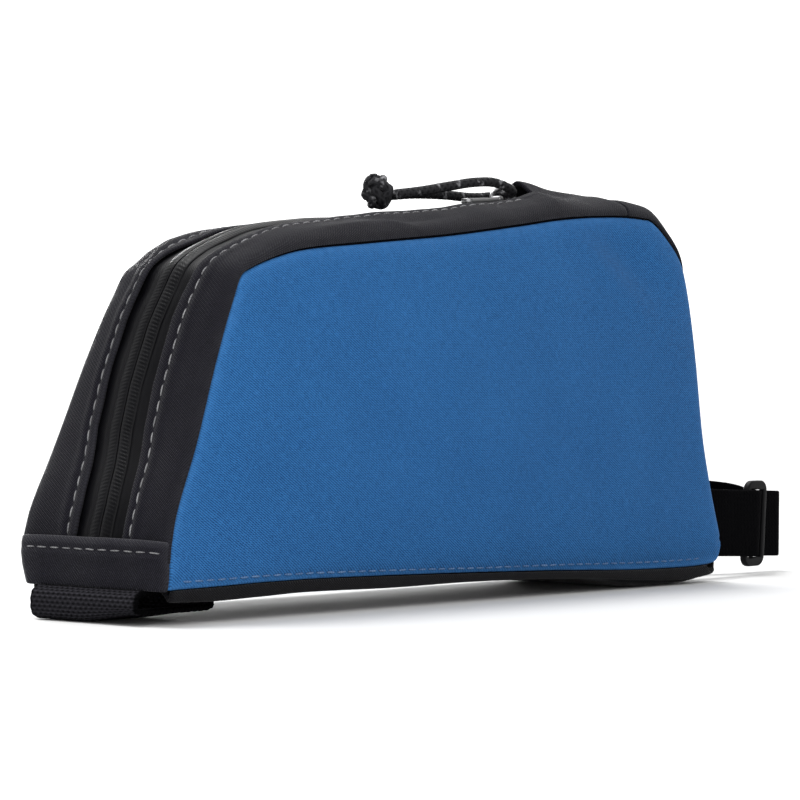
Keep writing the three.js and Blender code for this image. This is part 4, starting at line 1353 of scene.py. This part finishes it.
def zipper_slider():
    """Slider body astride the coils, with a wire bail over it for the cord and a tab on its side."""
    line = zipper_line(0.5)
    level = np.interp(PULL_X, line[:, 0], line[:, 1])
    slope = np.interp(PULL_X, line[:, 0], np.gradient(line[:, 1]) / np.gradient(line[:, 0]))
    outline = rounded_outline(PULL_LENGTH, PULL_WIDTH, 2.4, 8)
    waist = [(x, y * (1 - 0.16 * bump(x + 1.5, 2.2))) for x, y in outline]
    body = plate(waist, [], PULL_BODY, 0.4)
    body[0][:, 2] += PULL_LEVEL
    arch = resampled(smooth(BAIL_LINE, 8), 0.25)
    path = np.column_stack([arch[:, 0], np.zeros(len(arch)), arch[:, 1]])
    wire = tube_parts(path, np.full((len(path), 12), BAIL_RADIUS), 12)
    tab_outline = rounded_outline(TAB_LENGTH, TAB_WIDTH, TAB_WIDTH / 2 - 0.1, 8)
    hole = np.array(rounded_outline(TAB_LENGTH / 4, TAB_WIDTH / 3, TAB_WIDTH / 6 - 0.02, 5))
    hole[:, 0] += TAB_LENGTH / 3
    tab = plate(tab_outline, [hole[::-1]], TAB_THICK, 0.35)
    tab[0][:] += TAB_PLACE
    rivet_y, rivet_radius = np.array(RIVET).T
    rivet_path = stacked(TAB_END, rivet_y, RIVET_LEVEL)
    rivet = tube_parts(rivet_path, np.repeat(rivet_radius[:, None], 16, axis=1), 16)
    points, faces, uv = joined([body, wire, rivet, tab])
    tilt = math.atan(slope)
    turn = np.array([[math.cos(tilt), 0, math.sin(tilt)], [0, 1, 0], [-math.sin(tilt), 0, math.cos(tilt)]])
    hard_piece("zipper_slider_body", points @ turn + (PULL_X, 0, level), faces, uv, METAL, "zipper_slider")


# Pull cord and knot

# Pairs of knots between which each round of blending runs in a centripetal curve
BLEND_ROUNDS = (((0, 1), (1, 2), (2, 3)), ((0, 2), (1, 3)), ((1, 2),))


def through(points, steps):
    """Centripetal curve through points, as the part's source makes the cord."""
    points = np.array(points, float)
    ends = np.vstack([2 * points[0] - points[1], points, 2 * points[-1] - points[-2]])
    knots = np.concatenate([[0.0], np.cumsum(np.linalg.norm(np.diff(ends, axis=0), axis=1) ** 0.5)])
    spans = []
    for i in range(1, len(ends) - 2):
        t = np.linspace(knots[i], knots[i + 1], steps, endpoint=False)[:, None]
        times = knots[i - 1 : i + 3]
        row = ends[i - 1 : i + 3]
        for pairs in BLEND_ROUNDS:
            row = [
                ((times[b] - t) * row[k] + (t - times[a]) * row[k + 1]) / (times[b] - times[a])
                for k, (a, b) in enumerate(pairs)
            ]
        spans.append(row[0])
    return np.vstack([*spans, points[-1:]])


def braided_tube(path, diameter, sides=24):
    """Tube whose surface carries the low lozenges of a braided cover."""
    along = lengths(path)[:, None]
    angle = TURN * np.arange(sides)[None] / sides
    left, right = [np.cos(4 * angle + way * TURN * along / BRAID_PITCH) for way in (1, -1)]
    return tube_parts(path, diameter / 2 * (0.95 + 0.05 * np.maximum(left, right)), sides)


def pull_cord():
    """The two runs of the cord, each from the bail to the knot."""
    whole = through(CORD_LINE, CORD_STEPS)
    apex = CORD_APEX * CORD_STEPS
    for name, strand in (("pull_cord_near", whole[apex::-1]), ("pull_cord_far", whole[apex:])):
        path = resampled(strand, 0.3, 3)
        points, faces, uv = braided_tube(path, CORD_DIAMETER)
        piece = add_piece(name, points, faces, CORD, "pull_cord", uv)


def pull_knot():
    """Knot at the end of the pull: the cord woven round itself over three turns and five bights."""
    t = np.linspace(0, TURN, 640)
    share = np.cos(KNOT_BIGHTS * t)
    out = KNOT_RADIUS * np.sqrt(1 - 0.6 * share**2) + KNOT_WEAVE * np.sin(2 * KNOT_BIGHTS * t)
    turn = KNOT_TURNS * t
    path = stacked(KNOT_HALF * share, 0.95 * out * np.cos(turn), 1.2 * out * np.sin(turn)) + KNOT_PLACE
    core = stacked(np.linspace(*KNOT_CORE, 12), 0.0, 0.0) + KNOT_PLACE
    tail = through(KNOT_TAIL, 6) + KNOT_PLACE
    parts = [
        braided_tube(path, KNOT_CORD),
        braided_tube(resampled(core, 0.3, 3), KNOT_CORE_DIAMETER),
        braided_tube(resampled(tail, 0.25, 3), KNOT_TAIL_DIAMETER),
    ]
    points, faces, uv = joined(parts)
    return add_piece("pull_knot_tied", points, faces, CORD, "pull_knot", uv)


# Floor and light


def floor():
    corners = [(x * FLOOR_REACH, y * FLOOR_REACH, 0) for x, y in ((-1, -1), (1, -1), (1, 1), (-1, 1))]
    mesh = bpy.data.meshes.new("floor")
    mesh.from_pydata(corners, [], [(0, 1, 2, 3)])
    mesh.materials.append(floor_finish().material)
    link(bpy.data.objects.new("floor", mesh))


def sky():
    """Studio surround: white behind the bag, dimmer in front of it, bright overhead."""
    world = bpy.data.worlds.new("studio")
    world.use_nodes = True
    tree = world.node_tree
    way = add_node(tree, "TexCoord", {}).outputs["Generated"]
    facing = add_node(tree, "VectorMath", {0: way, 1: BACKDROP_WAY})
    facing.operation = "DOT_PRODUCT"
    height = add_node(tree, "SeparateXYZ", {0: way}).outputs[2]
    backdrop = ranged(tree, facing.outputs["Value"], BACKDROP_SPAN, (FRONT_LEVEL, BACKDROP_LEVEL))
    overhead = ranged(tree, height, OVERHEAD_SPAN, (0, OVERHEAD_LEVEL))
    total = add_node(tree, "Math", {0: backdrop, 1: overhead}).outputs[0]
    background = tree.nodes["Background"]
    fill_socket(tree, background.inputs["Strength"], total)
    background.inputs["Color"].default_value = (1, 1, 1, 1)
    bpy.context.scene.world = world


def add_lamp(name, kind, energy, way):
    data = bpy.data.lights.new(name, kind)
    data.energy = energy
    lamp = link(bpy.data.objects.new(name, data))
    lamp.rotation_mode = "QUATERNION"
    lamp.rotation_quaternion = Vector(way).to_track_quat("-Z", "Y")
    return lamp


def lamps():
    """Soft light from above, a low one from behind, and a panel to the front left."""
    for name, strength, way in (("key", KEY_STRENGTH, KEY_WAY), ("back", BACK_STRENGTH, BACK_WAY)):
        add_lamp(name, "SUN", strength, way).data.angle = math.radians(SUN_SPREAD_DEG)
    panel = add_lamp("fill", "AREA", FILL_WATTS, metres(BAG_MIDDLE) - metres(FILL_PLACE))
    panel.data.size = FILL_SIZE
    panel.location = metres(FILL_PLACE)
    panel.visible_camera = False


place_camera()
tied = pull_knot()
pull_cord()
side_panel("side_panel_near_cloth", -1, 11)
side_panel("side_panel_far_cloth", 1, 21)
seam_allowance("seam_allowance_near", -1)
seam_allowance("seam_allowance_far", 1)
gusset = top_gusset()
for row_side, row_name in ((-1, "gusset_stitches_near"), (1, "gusset_stitches_far")):
    row_line, row_normal = gusset_stitch_row(*gusset, row_side)
    stitches(row_name, row_line, row_normal, GREY_THREAD, seed=5 + row_side)
zipper()
zipper_slider()
band_line, band_normal = end_band()
stitches("band_stitches", band_line, band_normal, GREY_THREAD, seed=7)
stem_panel()
base_panel()
for hem_side, hem_name in ((-1, "hem_stitches_near"), (1, "hem_stitches_far")):
    hem, hem_normal = hem_line(hem_side)
    stitches(hem_name, hem, hem_normal, BLUE_THREAD, width=0.5, seed=9 + hem_side)
tube_loop()
stem_strap()
strap_slider()
floor()
sky()
lamps()
bpy.context.scene.view_settings.view_transform = "Standard"
